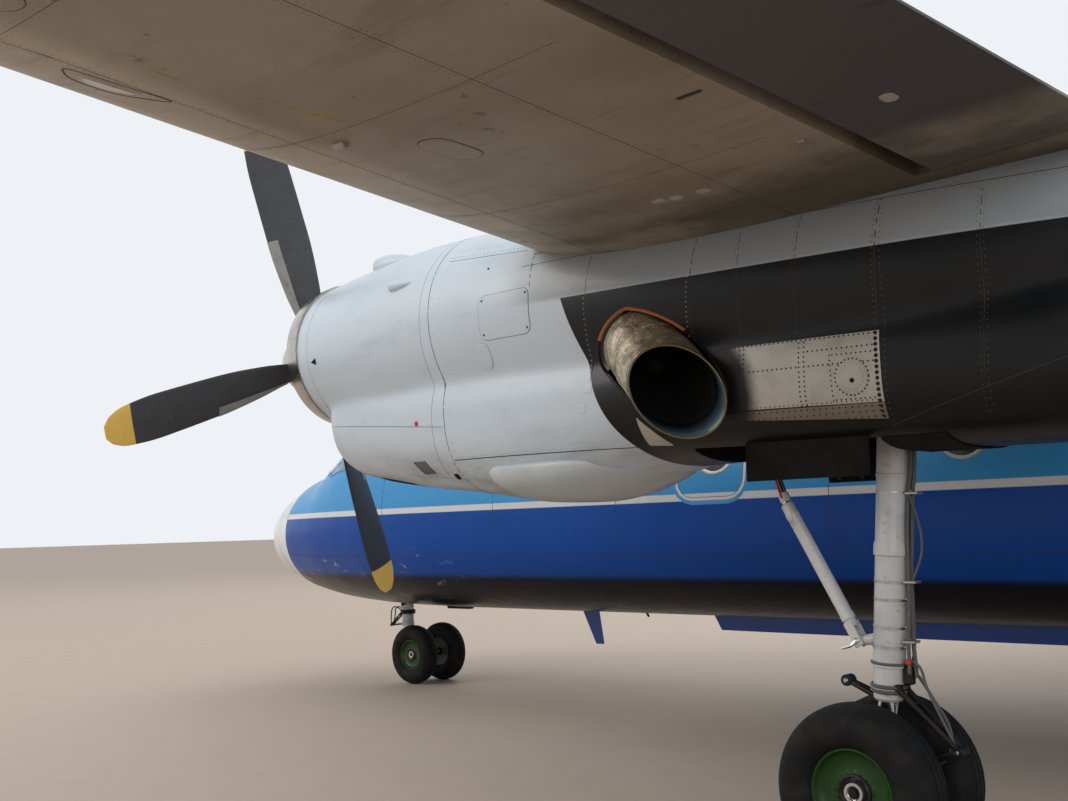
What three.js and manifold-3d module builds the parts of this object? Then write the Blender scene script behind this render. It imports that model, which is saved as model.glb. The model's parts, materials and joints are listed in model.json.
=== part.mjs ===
// A twin turboprop airliner with a high wing, parked on its gear.
// Millimetres, +Z up, nose towards -Y, left wing towards +X, ground at z = 0.
// A station is the distance aft of the nose tip. The origin is on the ground, halfway along.

import * as THREE from 'three';
import { mergeVertices } from 'three/addons/utils/BufferGeometryUtils.js';
import Module from 'manifold-3d';

const wasm = await Module();
wasm.setup();

// Whole aircraft
const LENGTH = 23530;
const HALF_SPAN = 14600;
const GAP = 0.3;

// Engines and propellers
const ENGINE_X = 3950;
const PROP_STATION = 5990;
const HUB_HEIGHT = 3153;
const PROP_RADIUS = 1950;
const BLADE_COUNT = 4;
const FIRST_BLADE_ANGLE = -19.07;

// Landing gear
const MAIN_STATION = 10640;
const MAIN_TYRE = { radius: 435, width: 290, rim: 215 };
const MAIN_WHEEL_OFFSET = 215;
const NOSE_STATION = 2750;
const NOSE_TYRE = { radius: 340, width: 215, rim: 165 };
const NOSE_WHEEL_OFFSET = 225;

// Wing
const HINGE = 0.74;
const WING_JOINT_X = 4900;

const group = new THREE.Group();

const PAINT = {
  blue: { color: 0x0b3f95, roughness: 0.3, metalness: 0.0 },
  white: { color: 0xd9dcdd, roughness: 0.35, metalness: 0.0 },
  grey: { color: 0xa09c94, roughness: 0.5, metalness: 0.1 },
  glass: { color: 0x10161b, roughness: 0.1, metalness: 0.0 },
  polished: { color: 0xc9c9c6, roughness: 0.2, metalness: 1.0 },
  blade: { color: 0x26282a, roughness: 0.5, metalness: 0.1 },
  heat: { color: 0x8a7a62, roughness: 0.5, metalness: 0.9 },
  leg: { color: 0xb9bdc0, roughness: 0.4, metalness: 0.2 },
  rubber: { color: 0x17171a, roughness: 0.85, metalness: 0.0 },
  wheel: { color: 0x2c6127, roughness: 0.5, metalness: 0.1 },
  black: { color: 0x101318, roughness: 0.4, metalness: 0.0 },
};

function at(station) {
  return station - LENGTH / 2;
}

function addPiece(name, solid, paint) {
  const mesh = new THREE.Mesh(fromSolid(solid), new THREE.MeshStandardMaterial(PAINT[paint]));
  mesh.name = name;
  group.add(mesh);
}

// Solids

function toSolid(geometry) {
  const bare = new THREE.BufferGeometry();
  bare.setAttribute('position', geometry.getAttribute('position').clone());
  if (geometry.index) bare.setIndex(geometry.index.clone());
  const merged = mergeVertices(bare, 0.001);
  const place = merged.getAttribute('position');
  const index = merged.index.array;
  const points = [];
  for (let i = 0; i < place.count; i += 1) points.push([place.getX(i), place.getY(i), place.getZ(i)]);
  const faces = [];
  for (let i = 0; i < index.length; i += 3) {
    const [a, b, c] = [index[i], index[i + 1], index[i + 2]];
    if (a !== b && b !== c && a !== c) faces.push([a, b, c]);
  }
  if (volumeOf(points, faces) < 0) faces.forEach((face) => face.reverse());
  return new wasm.Manifold(new wasm.Mesh({
    numProp: 3,
    vertProperties: new Float32Array(place.array),
    triVerts: new Uint32Array(faces.flat()),
  }));
}

function fromSolid(solid) {
  const mesh = solid.getMesh();
  const geometry = new THREE.BufferGeometry();
  geometry.setAttribute('position', new THREE.BufferAttribute(new Float32Array(mesh.vertProperties), 3));
  geometry.setIndex(Array.from(mesh.triVerts));
  return geometry;
}

function join(first, ...others) {
  return others.reduce((sum, one) => sum.add(one), first);
}

function cut(first, ...tools) {
  return tools.reduce((rest, one) => rest.subtract(one), first);
}

function mirrored(solid) {
  return solid.mirror([1, 0, 0]);
}

function volumeOf(points, triangles) {
  let sum = 0;
  for (const [a, b, c] of triangles) {
    const [p, q, r] = [points[a], points[b], points[c]];
    sum += p[0] * (q[1] * r[2] - q[2] * r[1]) - p[1] * (q[0] * r[2] - q[2] * r[0])
      + p[2] * (q[0] * r[1] - q[1] * r[0]);
  }
  return sum / 6;
}

// The two axes in which a ring's outline is widest, for filling its end
function flatten(ring) {
  const spread = [0, 1, 2].map((axis) => {
    const values = ring.map((point) => point[axis]);
    return Math.max(...values) - Math.min(...values);
  });
  const thin = spread.indexOf(Math.min(...spread));
  const axes = [0, 1, 2].filter((axis) => axis !== thin);
  return ring.map((point) => new THREE.Vector2(point[axes[0]], point[axes[1]]));
}

// A closed solid through rings of equal count. Its facets are the same on both sides of the aircraft,
// so a piece cut on the left and mirrored also fits on the right.
function loft(rings) {
  const count = rings[0].length;
  const points = rings.flat();
  const triangles = [];
  for (let r = 0; r < rings.length - 1; r += 1) {
    for (let k = 0; k < count; k += 1) {
      const a = r * count + k;
      const b = r * count + (k + 1) % count;
      const side = points[a][0] + points[b][0] + points[a + count][0] + points[b + count][0];
      if (side < 0) triangles.push([a, b, a + count], [b, b + count, a + count]);
      else triangles.push([a, b, b + count], [a, b + count, a + count]);
    }
  }
  const first = THREE.ShapeUtils.triangulateShape(flatten(rings[0]), []);
  const last = (rings.length - 1) * count;
  const facing = loopDirection(triangles[0], first);
  for (const face of first) triangles.push(facing ? [face[2], face[1], face[0]] : face);
  for (const face of first) {
    const end = face.map((i) => i + last);
    triangles.push(facing ? end : [end[2], end[1], end[0]]);
  }
  if (volumeOf(points, triangles) < 0) triangles.forEach((face) => face.reverse());
  const geometry = new THREE.BufferGeometry();
  geometry.setAttribute('position', new THREE.Float32BufferAttribute(points.flat(), 3));
  geometry.setIndex(triangles.flat());
  return toSolid(geometry);
}

// True where the end face walks its edge 0 to 1 the same way as the side does
function loopDirection(side, faces) {
  for (const face of faces) {
    for (let i = 0; i < 3; i += 1) {
      if (face[i] === side[0] && face[(i + 1) % 3] === side[1]) return true;
    }
  }
  return false;
}

// Placed boxes, rods and turned shapes

function box(sizeX, sizeY, sizeZ, x, y, z) {
  return toSolid(new THREE.BoxGeometry(sizeX, sizeY, sizeZ).translate(x, y, z));
}

function rod(from, to, radius, endRadius = radius, sides = 16) {
  const start = new THREE.Vector3(...from);
  const end = new THREE.Vector3(...to);
  const length = start.distanceTo(end);
  const geometry = new THREE.CylinderGeometry(endRadius, radius, length, sides);
  const turn = new THREE.Quaternion().setFromUnitVectors(
    new THREE.Vector3(0, 1, 0), end.clone().sub(start).normalize());
  const middle = start.clone().add(end).multiplyScalar(0.5);
  return toSolid(geometry.applyQuaternion(turn).translate(middle.x, middle.y, middle.z));
}

// Turned about an axis along X; the profile's points are [radius, x]
function turnedAcross(profile, sides) {
  const points = profile.map(([radius, along]) => new THREE.Vector2(radius, along));
  return toSolid(new THREE.LatheGeometry(points, sides).rotateZ(-Math.PI / 2));
}

// Turned about an axis along Y; the profile's points are [radius, y]
function turnedAlong(profile, sides) {
  const points = profile.map(([radius, along]) => new THREE.Vector2(radius, along));
  return toSolid(new THREE.LatheGeometry(points, sides));
}

// Rings around the body's long axis

function power(value, exponent) {
  return Math.sign(value) * Math.abs(value) ** exponent;
}

// A ring that is round above its widest height and squarer below it
function bodyRing(row, sides, x, grow = 0) {
  const [station, width, top, bottom, middle, square] = row;
  const ring = [];
  for (let k = 0; k < sides; k += 1) {
    const angle = (2 * Math.PI * (k + 0.5)) / sides;
    const exponent = Math.sin(angle) < 0 ? 2 / square : 1;
    const side = power(Math.cos(angle), exponent) * (width + grow);
    const reach = Math.sin(angle) < 0 ? middle - bottom + grow : top - middle + grow;
    ring.push([x + side, at(station), middle + power(Math.sin(angle), exponent) * reach]);
  }
  return ring;
}

function rowAt(table, station) {
  const next = table.findIndex((row) => row[0] >= station);
  if (next <= 0) return next === 0 ? table[0] : table[table.length - 1];
  const [low, high] = [table[next - 1], table[next]];
  const part = (station - low[0]) / (high[0] - low[0]);
  return low.map((value, i) => value + (high[i] - value) * part);
}

function bodyLoft(table, from, to, sides, x = 0, grow = 0) {
  const rows = [rowAt(table, from), ...table.filter((row) => row[0] > from && row[0] < to), rowAt(table, to)];
  return loft(rows.map((row) => bodyRing(row, sides, x, grow)));
}

// Fuselage: station, half width, top, bottom, height of the widest point, squareness below
const FUSELAGE = [
  [0, 60, 1810, 1690, 1750, 2],
  [60, 235, 1960, 1530, 1750, 2],
  [250, 460, 2150, 1360, 1755, 2],
  [600, 690, 2325, 1210, 1765, 2.05],
  [1200, 950, 2530, 1060, 1790, 2.1],
  [1750, 1110, 2670, 985, 1820, 2.2],
  [2150, 1205, 2980, 955, 1850, 2.3],
  [2650, 1300, 3260, 932, 1890, 2.4],
  [3300, 1390, 3370, 922, 1930, 2.55],
  [4200, 1445, 3402, 920, 1952, 2.7],
  [5000, 1450, 3405, 919, 1954, 2.7],
  [14600, 1450, 3405, 919, 1954, 2.7],
  [15700, 1430, 3403, 975, 1975, 2.6],
  [17000, 1330, 3398, 1165, 2080, 2.45],
  [18400, 1140, 3385, 1475, 2260, 2.3],
  [19800, 900, 3355, 1860, 2480, 2.15],
  [21200, 640, 3310, 2290, 2720, 2.05],
  [22500, 375, 3230, 2680, 2930, 2],
  [23250, 180, 3140, 2880, 3010, 2],
  [LENGTH, 60, 3060, 2970, 3015, 2],
];
const BODY_SIDES = 32;
const RADOME_END = 1200;

// Fairing over the wing: same columns
const FAIRING = [
  [7300, 350, 3390, 3000, 3200, 2],
  [8100, 900, 3600, 2850, 3200, 2.6],
  [8800, 1230, 3850, 2700, 3200, 3],
  [9800, 1330, 3960, 2650, 3200, 3],
  [11200, 1300, 3860, 2650, 3200, 3],
  [12400, 1120, 3660, 2750, 3200, 3],
  [13400, 800, 3480, 2900, 3150, 2.6],
  [14300, 350, 3385, 3000, 3150, 2],
];

// Lifting surfaces: one row per section
// columns: place along the span, leading edge station, chord, leading edge height or side, thickness
const WING = [
  { span: 0, edge: 8780, chord: 3400, rise: 3600, thick: 0.17 },
  { span: 4600, edge: 8780, chord: 3400, rise: 3600, thick: 0.17 },
  { span: 8000, edge: 9392, chord: 2594, rise: 3600, thick: 0.156 },
  { span: 14250, edge: 10517, chord: 1112, rise: 3360, thick: 0.13 },
  { span: 14480, edge: 10620, chord: 900, rise: 3352, thick: 0.1 },
  { span: HALF_SPAN, edge: 10800, chord: 560, rise: 3345, thick: 0.05 },
];
const WING_INCIDENCE = 3.4;
const TAILPLANE = [
  { span: 200, edge: 19980, chord: 2600, rise: 3010, thick: 0.12 },
  { span: 4330, edge: 20950, chord: 1300, rise: 3664, thick: 0.11 },
  { span: 4480, edge: 21080, chord: 1080, rise: 3688, thick: 0.09 },
  { span: 4540, edge: 21260, chord: 760, rise: 3697, thick: 0.05 },
];
const FIN = [
  { span: 3250, edge: 19250, chord: 4100, rise: 0, thick: 0.11 },
  { span: 8080, edge: 21690, chord: 1620, rise: 0, thick: 0.1 },
  { span: 8240, edge: 21820, chord: 1420, rise: 0, thick: 0.09 },
  { span: 8320, edge: 22030, chord: 1050, rise: 0, thick: 0.05 },
];
const EDGE_STEPS = 11;

function halfThickness(c, thick) {
  const open = 0.2969 * Math.sqrt(c) - 0.126 * c - 0.3516 * c ** 2 + 0.2843 * c ** 3 - 0.1015 * c ** 4;
  return 5 * thick * open;
}

function camberLine(c, camber) {
  const peak = 0.38;
  const part = c < peak ? (2 * peak * c - c ** 2) / peak ** 2
    : (1 - 2 * peak + 2 * peak * c - c ** 2) / (1 - peak) ** 2;
  return camber * part;
}

// Height of the upper (side 1) or lower (side -1) skin over the chord line, in chords
function skin(c, row, side, camber) {
  return camberLine(c, camber) + side * halfThickness(c, row.thick);
}

// The whole section from the upper trailing edge, round the front, to the lower one
function wholeOutline(row, camber, grow = 0) {
  const outline = [];
  for (let k = 0; k <= EDGE_STEPS; k += 1) {
    const c = (1 + Math.cos((Math.PI * k) / EDGE_STEPS)) / 2;
    outline.push([c, skin(c, row, 1, camber) + grow / row.chord]);
  }
  for (let k = EDGE_STEPS - 1; k >= 0; k -= 1) {
    const c = (1 + Math.cos((Math.PI * k) / EDGE_STEPS)) / 2;
    outline.push([c, skin(c, row, -1, camber) - grow / row.chord]);
  }
  return outline.map(([c, t]) => [c + (grow / row.chord) * (2 * c - 1), t]);
}

function between(table, span) {
  const next = table.findIndex((row) => row.span >= span);
  if (next <= 0) return { ...table[Math.max(next, 0)] };
  const [low, high] = [table[next - 1], table[next]];
  const part = (span - low.span) / (high.span - low.span);
  const row = {};
  for (const key of Object.keys(low)) row[key] = low[key] + (high[key] - low[key]) * part;
  return row;
}

function onWing(row, [c, t]) {
  const angle = THREE.MathUtils.degToRad(row.incidence ?? 0);
  const along = c * Math.cos(angle) + t * Math.sin(angle);
  const up = t * Math.cos(angle) - c * Math.sin(angle);
  return [row.span, at(row.edge) + row.chord * along, row.rise + row.chord * up];
}

function onFin(row, [c, t]) {
  return [row.rise + row.chord * t, at(row.edge) + row.chord * c, row.span];
}

function surfaceLoft(table, from, to, place, outline) {
  const spans = [from, ...table.map((row) => row.span).filter((span) => span > from && span < to), to];
  return loft(spans.map((span) => {
    const row = between(table, span);
    return outline(row).map((point) => place(row, point));
  }));
}

// Hinged surfaces
// The nose is round about the hinge. The bay behind the fixed part is cut wider by the clearance and
// opens above and below by the angles that the surface swings through.

const NOSE_STEPS = 6;
// How far the bay tools reach past the wing, in chords from its nose and from its chord line
const BEHIND_WING = 1.6;
const OFF_WING = 0.5;

function hingePoint(row, hinge, camber) {
  const top = skin(hinge, row, 1, camber);
  const low = skin(hinge, row, -1, camber);
  return { height: (top + low) / 2, radius: (top - low) / 2 };
}

function swingOutline(row, hinge, camber) {
  const { height, radius } = hingePoint(row, hinge, camber);
  const outline = [];
  for (let k = 0; k <= 4; k += 1) {
    const c = 1 - ((1 - hinge) * k) / 5;
    outline.push([c, skin(c, row, 1, camber)]);
  }
  for (let k = 0; k <= NOSE_STEPS; k += 1) {
    const angle = Math.PI / 2 + (Math.PI * k) / NOSE_STEPS;
    outline.push([hinge + radius * Math.cos(angle), height + radius * Math.sin(angle)]);
  }
  for (let k = 4; k >= 0; k -= 1) {
    const c = 1 - ((1 - hinge) * k) / 5;
    outline.push([c, skin(c, row, -1, camber)]);
  }
  return outline;
}

function bayOutline(row, hinge, camber, clearance, opening) {
  const { height, radius } = hingePoint(row, hinge, camber);
  const reach = radius + clearance / row.chord;
  const outline = [];
  const start = THREE.MathUtils.degToRad(90 + opening);
  const end = THREE.MathUtils.degToRad(270 - opening);
  for (let k = 0; k <= NOSE_STEPS; k += 1) {
    const angle = start + ((end - start) * k) / NOSE_STEPS;
    outline.push([hinge + reach * Math.cos(angle), height + reach * Math.sin(angle)]);
  }
  const [top, low] = [outline[0], outline[NOSE_STEPS]];
  const behind = [[BEHIND_WING, -OFF_WING], [BEHIND_WING, OFF_WING]];
  return [[top[0], OFF_WING], ...outline, [low[0], -OFF_WING], ...behind];
}

// Flaps: lips of the bay and outline of the flap, in chords
const FLAP_LOW_LIP = 0.742;
const FLAP_TOP_LIP = 0.865;
const FLAP_TOP_CURVE = [[0.858, -0.0095], [0.835, -0.0135], [0.805, -0.018], [0.78, -0.0265], [0.764, -0.04]];
const COVE_CURVE = [[0.835, -0.004], [0.803, -0.0085], [0.772, -0.018], [0.752, -0.034]];
const LIP_THICKNESS = 0.001;
const LIP_GAP = 0.006;

function flapBayOutline(row, camber) {
  const cove = COVE_CURVE.map(([c, drop]) => [c, skin(c, row, 1, camber) + drop]);
  const lip = [FLAP_TOP_LIP, skin(FLAP_TOP_LIP, row, 1, camber) - LIP_THICKNESS];
  const behind = [[BEHIND_WING, -OFF_WING], [BEHIND_WING, OFF_WING]];
  return [[FLAP_TOP_LIP, OFF_WING], lip, ...cove, [FLAP_LOW_LIP, -OFF_WING], ...behind];
}

function flapOutline(row, camber) {
  const outline = [];
  const first = FLAP_TOP_LIP + LIP_GAP;
  for (let k = 0; k <= 3; k += 1) {
    const c = 1 - ((1 - first) * k) / 3;
    outline.push([c, skin(c, row, 1, camber)]);
  }
  for (const [c, drop] of FLAP_TOP_CURVE) outline.push([c, skin(c, row, 1, camber) + drop]);
  for (let k = 4; k >= 0; k -= 1) {
    const c = 1 - ((1 - FLAP_LOW_LIP - 0.026) * k) / 4;
    outline.push([c, skin(c, row, -1, camber)]);
  }
  return outline;
}

const WING_CAMBER = 0.018;
const wingTable = WING.map((row) => ({ ...row, incidence: WING_INCIDENCE }));

// columns: name, inner end, outer end
const FLAPS = [
  ['inner', 1620, 3255],
  ['outer', 4640, 8880],
];
const AILERON_ENDS = [8960, 13950];
const BAY_MARGIN = 12;

function wingHalf(grow = 0) {
  return surfaceLoft(wingTable, 0, HALF_SPAN, onWing, (row) => wholeOutline(row, WING_CAMBER, grow));
}

function wingWithBays() {
  const tools = FLAPS.map(([, inner, outer]) => surfaceLoft(
    wingTable, inner - BAY_MARGIN, outer + BAY_MARGIN, onWing, (row) => flapBayOutline(row, WING_CAMBER)));
  const [inner, outer] = AILERON_ENDS;
  tools.push(surfaceLoft(wingTable, inner - BAY_MARGIN, outer + BAY_MARGIN, onWing,
    (row) => bayOutline(row, HINGE, WING_CAMBER, 8, 30)));
  return cut(wingHalf(), ...tools);
}

function buildWing() {
  const half = wingWithBays();
  const reach = HALF_SPAN * 2;
  const inner = half.intersect(box(2 * WING_JOINT_X, reach, reach, 0, 0, 0));
  addPiece('wing_centre_section', join(inner, mirrored(inner)), 'grey');
  const outer = cut(half, box(2 * (WING_JOINT_X + GAP), reach, reach, 0, 0, 0));
  addPair('wing_outer', outer, 'grey');
  for (const [name, from, to] of FLAPS) {
    addPair(`flap_${name}`, surfaceLoft(wingTable, from, to, onWing, (row) => flapOutline(row, WING_CAMBER)),
      'grey');
  }
  addPair('aileron', surfaceLoft(wingTable, AILERON_ENDS[0], AILERON_ENDS[1], onWing,
    (row) => swingOutline(row, HINGE, WING_CAMBER)), 'grey');
}

function addPair(name, geometry, paint) {
  addPiece(`${name}_left`, geometry, paint);
  addPiece(`${name}_right`, mirrored(geometry), paint);
}

// Both halves of the wing as one tool, a little larger than the wing
function wingTool() {
  const half = wingHalf(GAP);
  return join(half, mirrored(half));
}

// Fuselage, nose cone, glazing and doors

const SKIN_THICKNESS = { door: 60, glass: 25 };

// columns: name, side of the body, first and last station, bottom, top
const DOORS = [
  ['passenger_door', 1, 16250, 17000, 1480, 2880],
  ['baggage_door', -1, 4700, 5900, 1330, 2430],
];

function slab(side, from, to, bottom, top, margin) {
  const width = 2000;
  return box(width, to - from + 2 * margin, top - bottom + 2 * margin,
    side * width / 2, at((from + to) / 2), (bottom + top) / 2);
}

// Side view of the cockpit glazing: station and height
const GLAZING = [[1700, 2560], [2230, 2560], [3020, 2660], [2960, 3010], [2500, 3120], [2060, 3080]];

function glazingZone(margin) {
  const shape = new THREE.Shape(GLAZING.map(([station, height]) => new THREE.Vector2(at(station), height)));
  const width = 3200;
  const zone = new THREE.ExtrudeGeometry(shape, { depth: width, bevelEnabled: false });
  zone.translate(0, 0, -width / 2);
  const middle = [at(2500), 2850];
  const scale = 1 + margin / 400;
  zone.translate(-middle[0], -middle[1], 0).scale(scale, scale, 1).translate(middle[0], middle[1], 0);
  return toSolid(zone.applyMatrix4(new THREE.Matrix4().makeBasis(
    new THREE.Vector3(0, 1, 0), new THREE.Vector3(0, 0, 1), new THREE.Vector3(1, 0, 0))));
}

function inset(depth) {
  return bodyLoft(FUSELAGE, 700, 19500, BODY_SIDES, 0, -depth);
}

// The part of the skin inside the zone; proud is how far it stands out of the skin
function panelIn(zone, depth, proud = 0) {
  return bodyLoft(FUSELAGE, RADOME_END, 19500, BODY_SIDES, 0, proud).intersect(zone).subtract(inset(depth));
}

// The tail behind the cabin is an empty shell, as on the real aircraft, so that the weight rests on all
// three legs. The void meets the passenger doorway inside its frame.
const TAIL_VOID = { from: 15900, to: 21900, wall: 75, frame: 45 };

function tailVoid() {
  const { from, to, wall, frame } = TAIL_VOID;
  const [, side, first, last, bottom, top] = DOORS[0];
  const doorway = slab(side, first, last, bottom, top, -frame);
  return join(bodyLoft(FUSELAGE, from, to, BODY_SIDES, 0, -wall), doorway);
}

// Blade aerials on the cabin roof: first and last station at the foot and at the tip, top
const ROOF_AERIALS = [
  [[5600, 5900], [5790, 5900], 3700],
  [[14900, 15180], [15070, 15180], 3680],
];
const AERIAL_FOOT = 3350;
const AERIAL_HALF_WIDTH = 12;

function roofAerials() {
  return ROOF_AERIALS.map(([root, tip, top]) => (
    flatBlade({ root, tip, top: AERIAL_FOOT, bottom: top, halfWidth: AERIAL_HALF_WIDTH })));
}

function buildFuselage() {
  const skinOnly = bodyLoft(FUSELAGE, RADOME_END + GAP, LENGTH, BODY_SIDES);
  const humped = join(skinOnly, bodyLoft(FAIRING, 7300, 14300, BODY_SIDES), ...roofAerials());
  const recesses = DOORS.map(([, side, from, to, bottom, top]) => (
    panelIn(slab(side, from, to, bottom, top, 4), SKIN_THICKNESS.door + 2, 20)));
  recesses.push(panelIn(glazingZone(2), SKIN_THICKNESS.glass + 2, 20));
  addPiece('fuselage', cut(humped, wingTool(), ...recesses, noseWell(), tailVoid()), 'blue');
  addPiece('radome', bodyLoft(FUSELAGE, 0, RADOME_END, BODY_SIDES), 'white');
  addPiece('cockpit_glazing', panelIn(glazingZone(0), SKIN_THICKNESS.glass), 'glass');
  for (const [name, side, from, to, bottom, top] of DOORS) {
    addPiece(name, panelIn(slab(side, from, to, bottom, top, 0), SKIN_THICKNESS.door), 'blue');
  }
}

// Nose gear well
const NOSE_WELL = { from: 2080, to: 3780, halfWidth: 260, top: 1300 };

function noseWell() {
  const { from, to, halfWidth, top } = NOSE_WELL;
  return box(2 * halfWidth, to - from, top - 600, 0, at((from + to) / 2), (top + 600) / 2);
}

// Belly pieces
const STRAKE = { root: [6850, 11600], tip: [6980, 11300], top: 985, bottom: 760, halfWidth: 60 };
const ANTENNA = { root: [5200, 5440], tip: [5390, 5500], top: 960, bottom: 560, halfWidth: 14 };

function buildBelly() {
  const body = bodyLoft(FUSELAGE, 4500, 14000, BODY_SIDES, 0, GAP);
  addPiece('belly_strake', cut(flatBlade(STRAKE), body), 'blue');
  addPiece('belly_antenna', cut(flatBlade(ANTENNA), body), 'blue');
}

// A flat plate below the belly: root and tip give its first and last station, top and bottom
function flatBlade({ root, tip, top, bottom, halfWidth }) {
  return loft([-halfWidth, halfWidth].map((x) => [
    [x, at(root[0]), top], [x, at(tip[0]), bottom], [x, at(tip[1]), bottom], [x, at(root[1]), top],
  ]));
}

// Tail
const TAIL_HINGE = 0.68;
const RUDDER_HINGE = 0.7;
const ELEVATOR_ENDS = [720, 4300];
const RUDDER_ENDS = [3420, 8100];

function buildTail() {
  const body = bodyLoft(FUSELAGE, 14000, LENGTH, BODY_SIDES, 0, GAP);
  const whole = surfaceLoft(TAILPLANE, 200, 4540, onWing, (row) => wholeOutline(row, 0));
  const bay = surfaceLoft(TAILPLANE, ELEVATOR_ENDS[0] - 40, ELEVATOR_ENDS[1] + 20, onWing,
    (row) => bayOutline(row, TAIL_HINGE, 0, 8, 34));
  addPair('tailplane', cut(whole, bay, body), 'white');
  addPair('elevator', surfaceLoft(TAILPLANE, ELEVATOR_ENDS[0], ELEVATOR_ENDS[1], onWing,
    (row) => swingOutline(row, TAIL_HINGE, 0)), 'white');
  const fin = surfaceLoft(FIN, 3250, 8320, onFin, (row) => wholeOutline(row, 0));
  const rudderBay = surfaceLoft(FIN, RUDDER_ENDS[0] - 300, RUDDER_ENDS[1] + 25, onFin,
    (row) => bayOutline(row, RUDDER_HINGE, 0, 8, 30));
  addPiece('fin', cut(join(fin, dorsalFin()), rudderBay, body), 'blue');
  addPiece('rudder', surfaceLoft(FIN, RUDDER_ENDS[0], RUDDER_ENDS[1], onFin,
    (row) => swingOutline(row, RUDDER_HINGE, 0)), 'blue');
  addPiece('ventral_fin', cut(ventralFin(), body), 'blue');
}

// columns: station, height, half width of the dorsal fin's foot
function dorsalFin() {
  const foot = 3300;
  const rows = [[15700, 3420, 20], [18000, 3700, 70], [19700, 4150, 110], [20400, 4450, 130]];
  return loft(rows.map(([station, top, width]) => [
    [-width, at(station), foot], [width, at(station), foot], [width * 0.4, at(station), top],
    [-width * 0.4, at(station), top],
  ]));
}

function ventralFin() {
  const half = 30;
  return loft([-half, half].map((x) => [
    [x, at(17600), 1500], [x, at(19700), 1380], [x, at(21000), 1850],
    [x, at(21100), 2500], [x, at(18200), 2200],
  ]));
}

// Nacelles
// Upper lobe around the engine: station, half width, top, bottom, widest height, squareness
const UPPER_LOBE = [
  [6400, 555, 3700, 2600, 3150, 2],
  [6900, 615, 3760, 2540, 3150, 2],
  [7700, 670, 3815, 2480, 3150, 2],
  [8600, 680, 3800, 2450, 3130, 2],
  [9500, 680, 3740, 2400, 3100, 2],
  [11000, 650, 3660, 2300, 3050, 2],
  [12300, 500, 3580, 2450, 3050, 2],
  [13300, 270, 3460, 2800, 3150, 2],
  [14000, 50, 3290, 3170, 3230, 2],
];
// Lower lobe around the oil cooler and the wheel well: same columns
const LOWER_LOBE = [
  [6430, 300, 2950, 2310, 2640, 2.2],
  [6700, 420, 3000, 2190, 2620, 2.3],
  [7300, 520, 3000, 2090, 2560, 2.4],
  [7900, 580, 3000, 2020, 2540, 2.5],
  [8600, 610, 3000, 1945, 2520, 2.5],
  [9100, 615, 3000, 1975, 2520, 2.3],
  [9450, 615, 3000, 2080, 2540, 2.3],
  [9600, 615, 3000, 2115, 2560, 2.5],
  [10200, 615, 3000, 2125, 2580, 3],
  [11800, 570, 3000, 2115, 2600, 3.4],
  [12700, 370, 3050, 2420, 2800, 2.6],
  [13500, 160, 3150, 2830, 3000, 2],
];
const NACELLE_SIDES = 28;
const COWL_JOINT = 7900;
const ENGINE_BAY = { from: 6300, to: 8790, radius: 470 };
const ENGINE = { from: 6430, to: 8776, width: 677, height: 900, drop: 20 };
const WHEEL_WELL = { from: 9850, to: 11300, halfWidth: 415, top: 2500 };
const GEAR_DOOR = { from: 10200, to: 10960, bottom: 1995, top: 2300, thickness: 25 };
const INTAKE = { front: 6215, back: 6400, outer: 555, lip: 520, inner: 455 };

function lobes(from, to) {
  const upper = bodyLoft(UPPER_LOBE, Math.max(from, 6400), Math.min(to, 14000), NACELLE_SIDES, ENGINE_X);
  const lower = bodyLoft(LOWER_LOBE, Math.max(from, 6430), Math.min(to, 13500), NACELLE_SIDES, ENGINE_X);
  return join(upper, lower);
}

function engineBay() {
  const { from, to, radius } = ENGINE_BAY;
  return rod([ENGINE_X, at(from), HUB_HEIGHT], [ENGINE_X, at(to), HUB_HEIGHT], radius, radius, 24);
}

// Air scoops on the cowling: x, station of the mouth, station of the tail, height of the middle, radius
const SCOOPS = [
  [4150, 6950, 7360, 3725, 78],
  [4572, 7630, 7830, 3392, 40],
];

function scoop([x, mouth, tail, height, radius]) {
  const length = tail - mouth;
  const profile = [
    [0, 0], [0.8, 0], [0.95, 0.08], [1, 0.25], [0.85, 0.55], [0.4, 0.88], [0, 1],
  ].map(([reach, along]) => [reach * radius, at(mouth + along * length)]);
  return turnedAlong(profile, 16).translate([x, 0, height]);
}

function buildNacelle() {
  const wing = wingHalf(GAP);
  const cooler = rod([ENGINE_X, at(6300), 2560], [ENGINE_X, at(6900), 2480], 190, 190, 16);
  const cowling = cut(join(lobes(6400, COWL_JOINT), ...SCOOPS.map(scoop)), engineBay(), cooler);
  addPair('cowling', cowling, 'white');
  const { from, to, halfWidth, top } = WHEEL_WELL;
  const well = box(2 * halfWidth, to - from, top - 1900, ENGINE_X, at((from + to) / 2), (top + 1900) / 2);
  const rear = cut(lobes(COWL_JOINT + GAP, 14000), wing, engineBay(), well, exhaustHole());
  addPair('nacelle', join(rear, ...gearDoors()), 'black');
  addPair('intake_ring', intakeRing(), 'polished');
  addPair('engine', engineBlock(), 'leg');
  addPair('exhaust_pipe', exhaustPipe(), 'heat');
}

// One plain block with its corners taken off to fit the round bay
function engineBlock() {
  const { from, to, width, height, drop } = ENGINE;
  const radius = ENGINE_BAY.radius - 10;
  const room = rod([ENGINE_X, at(from), HUB_HEIGHT], [ENGINE_X, at(to), HUB_HEIGHT], radius, radius, 24);
  return box(width, to - from, height, ENGINE_X, at((from + to) / 2), HUB_HEIGHT - drop).intersect(room);
}

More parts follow.
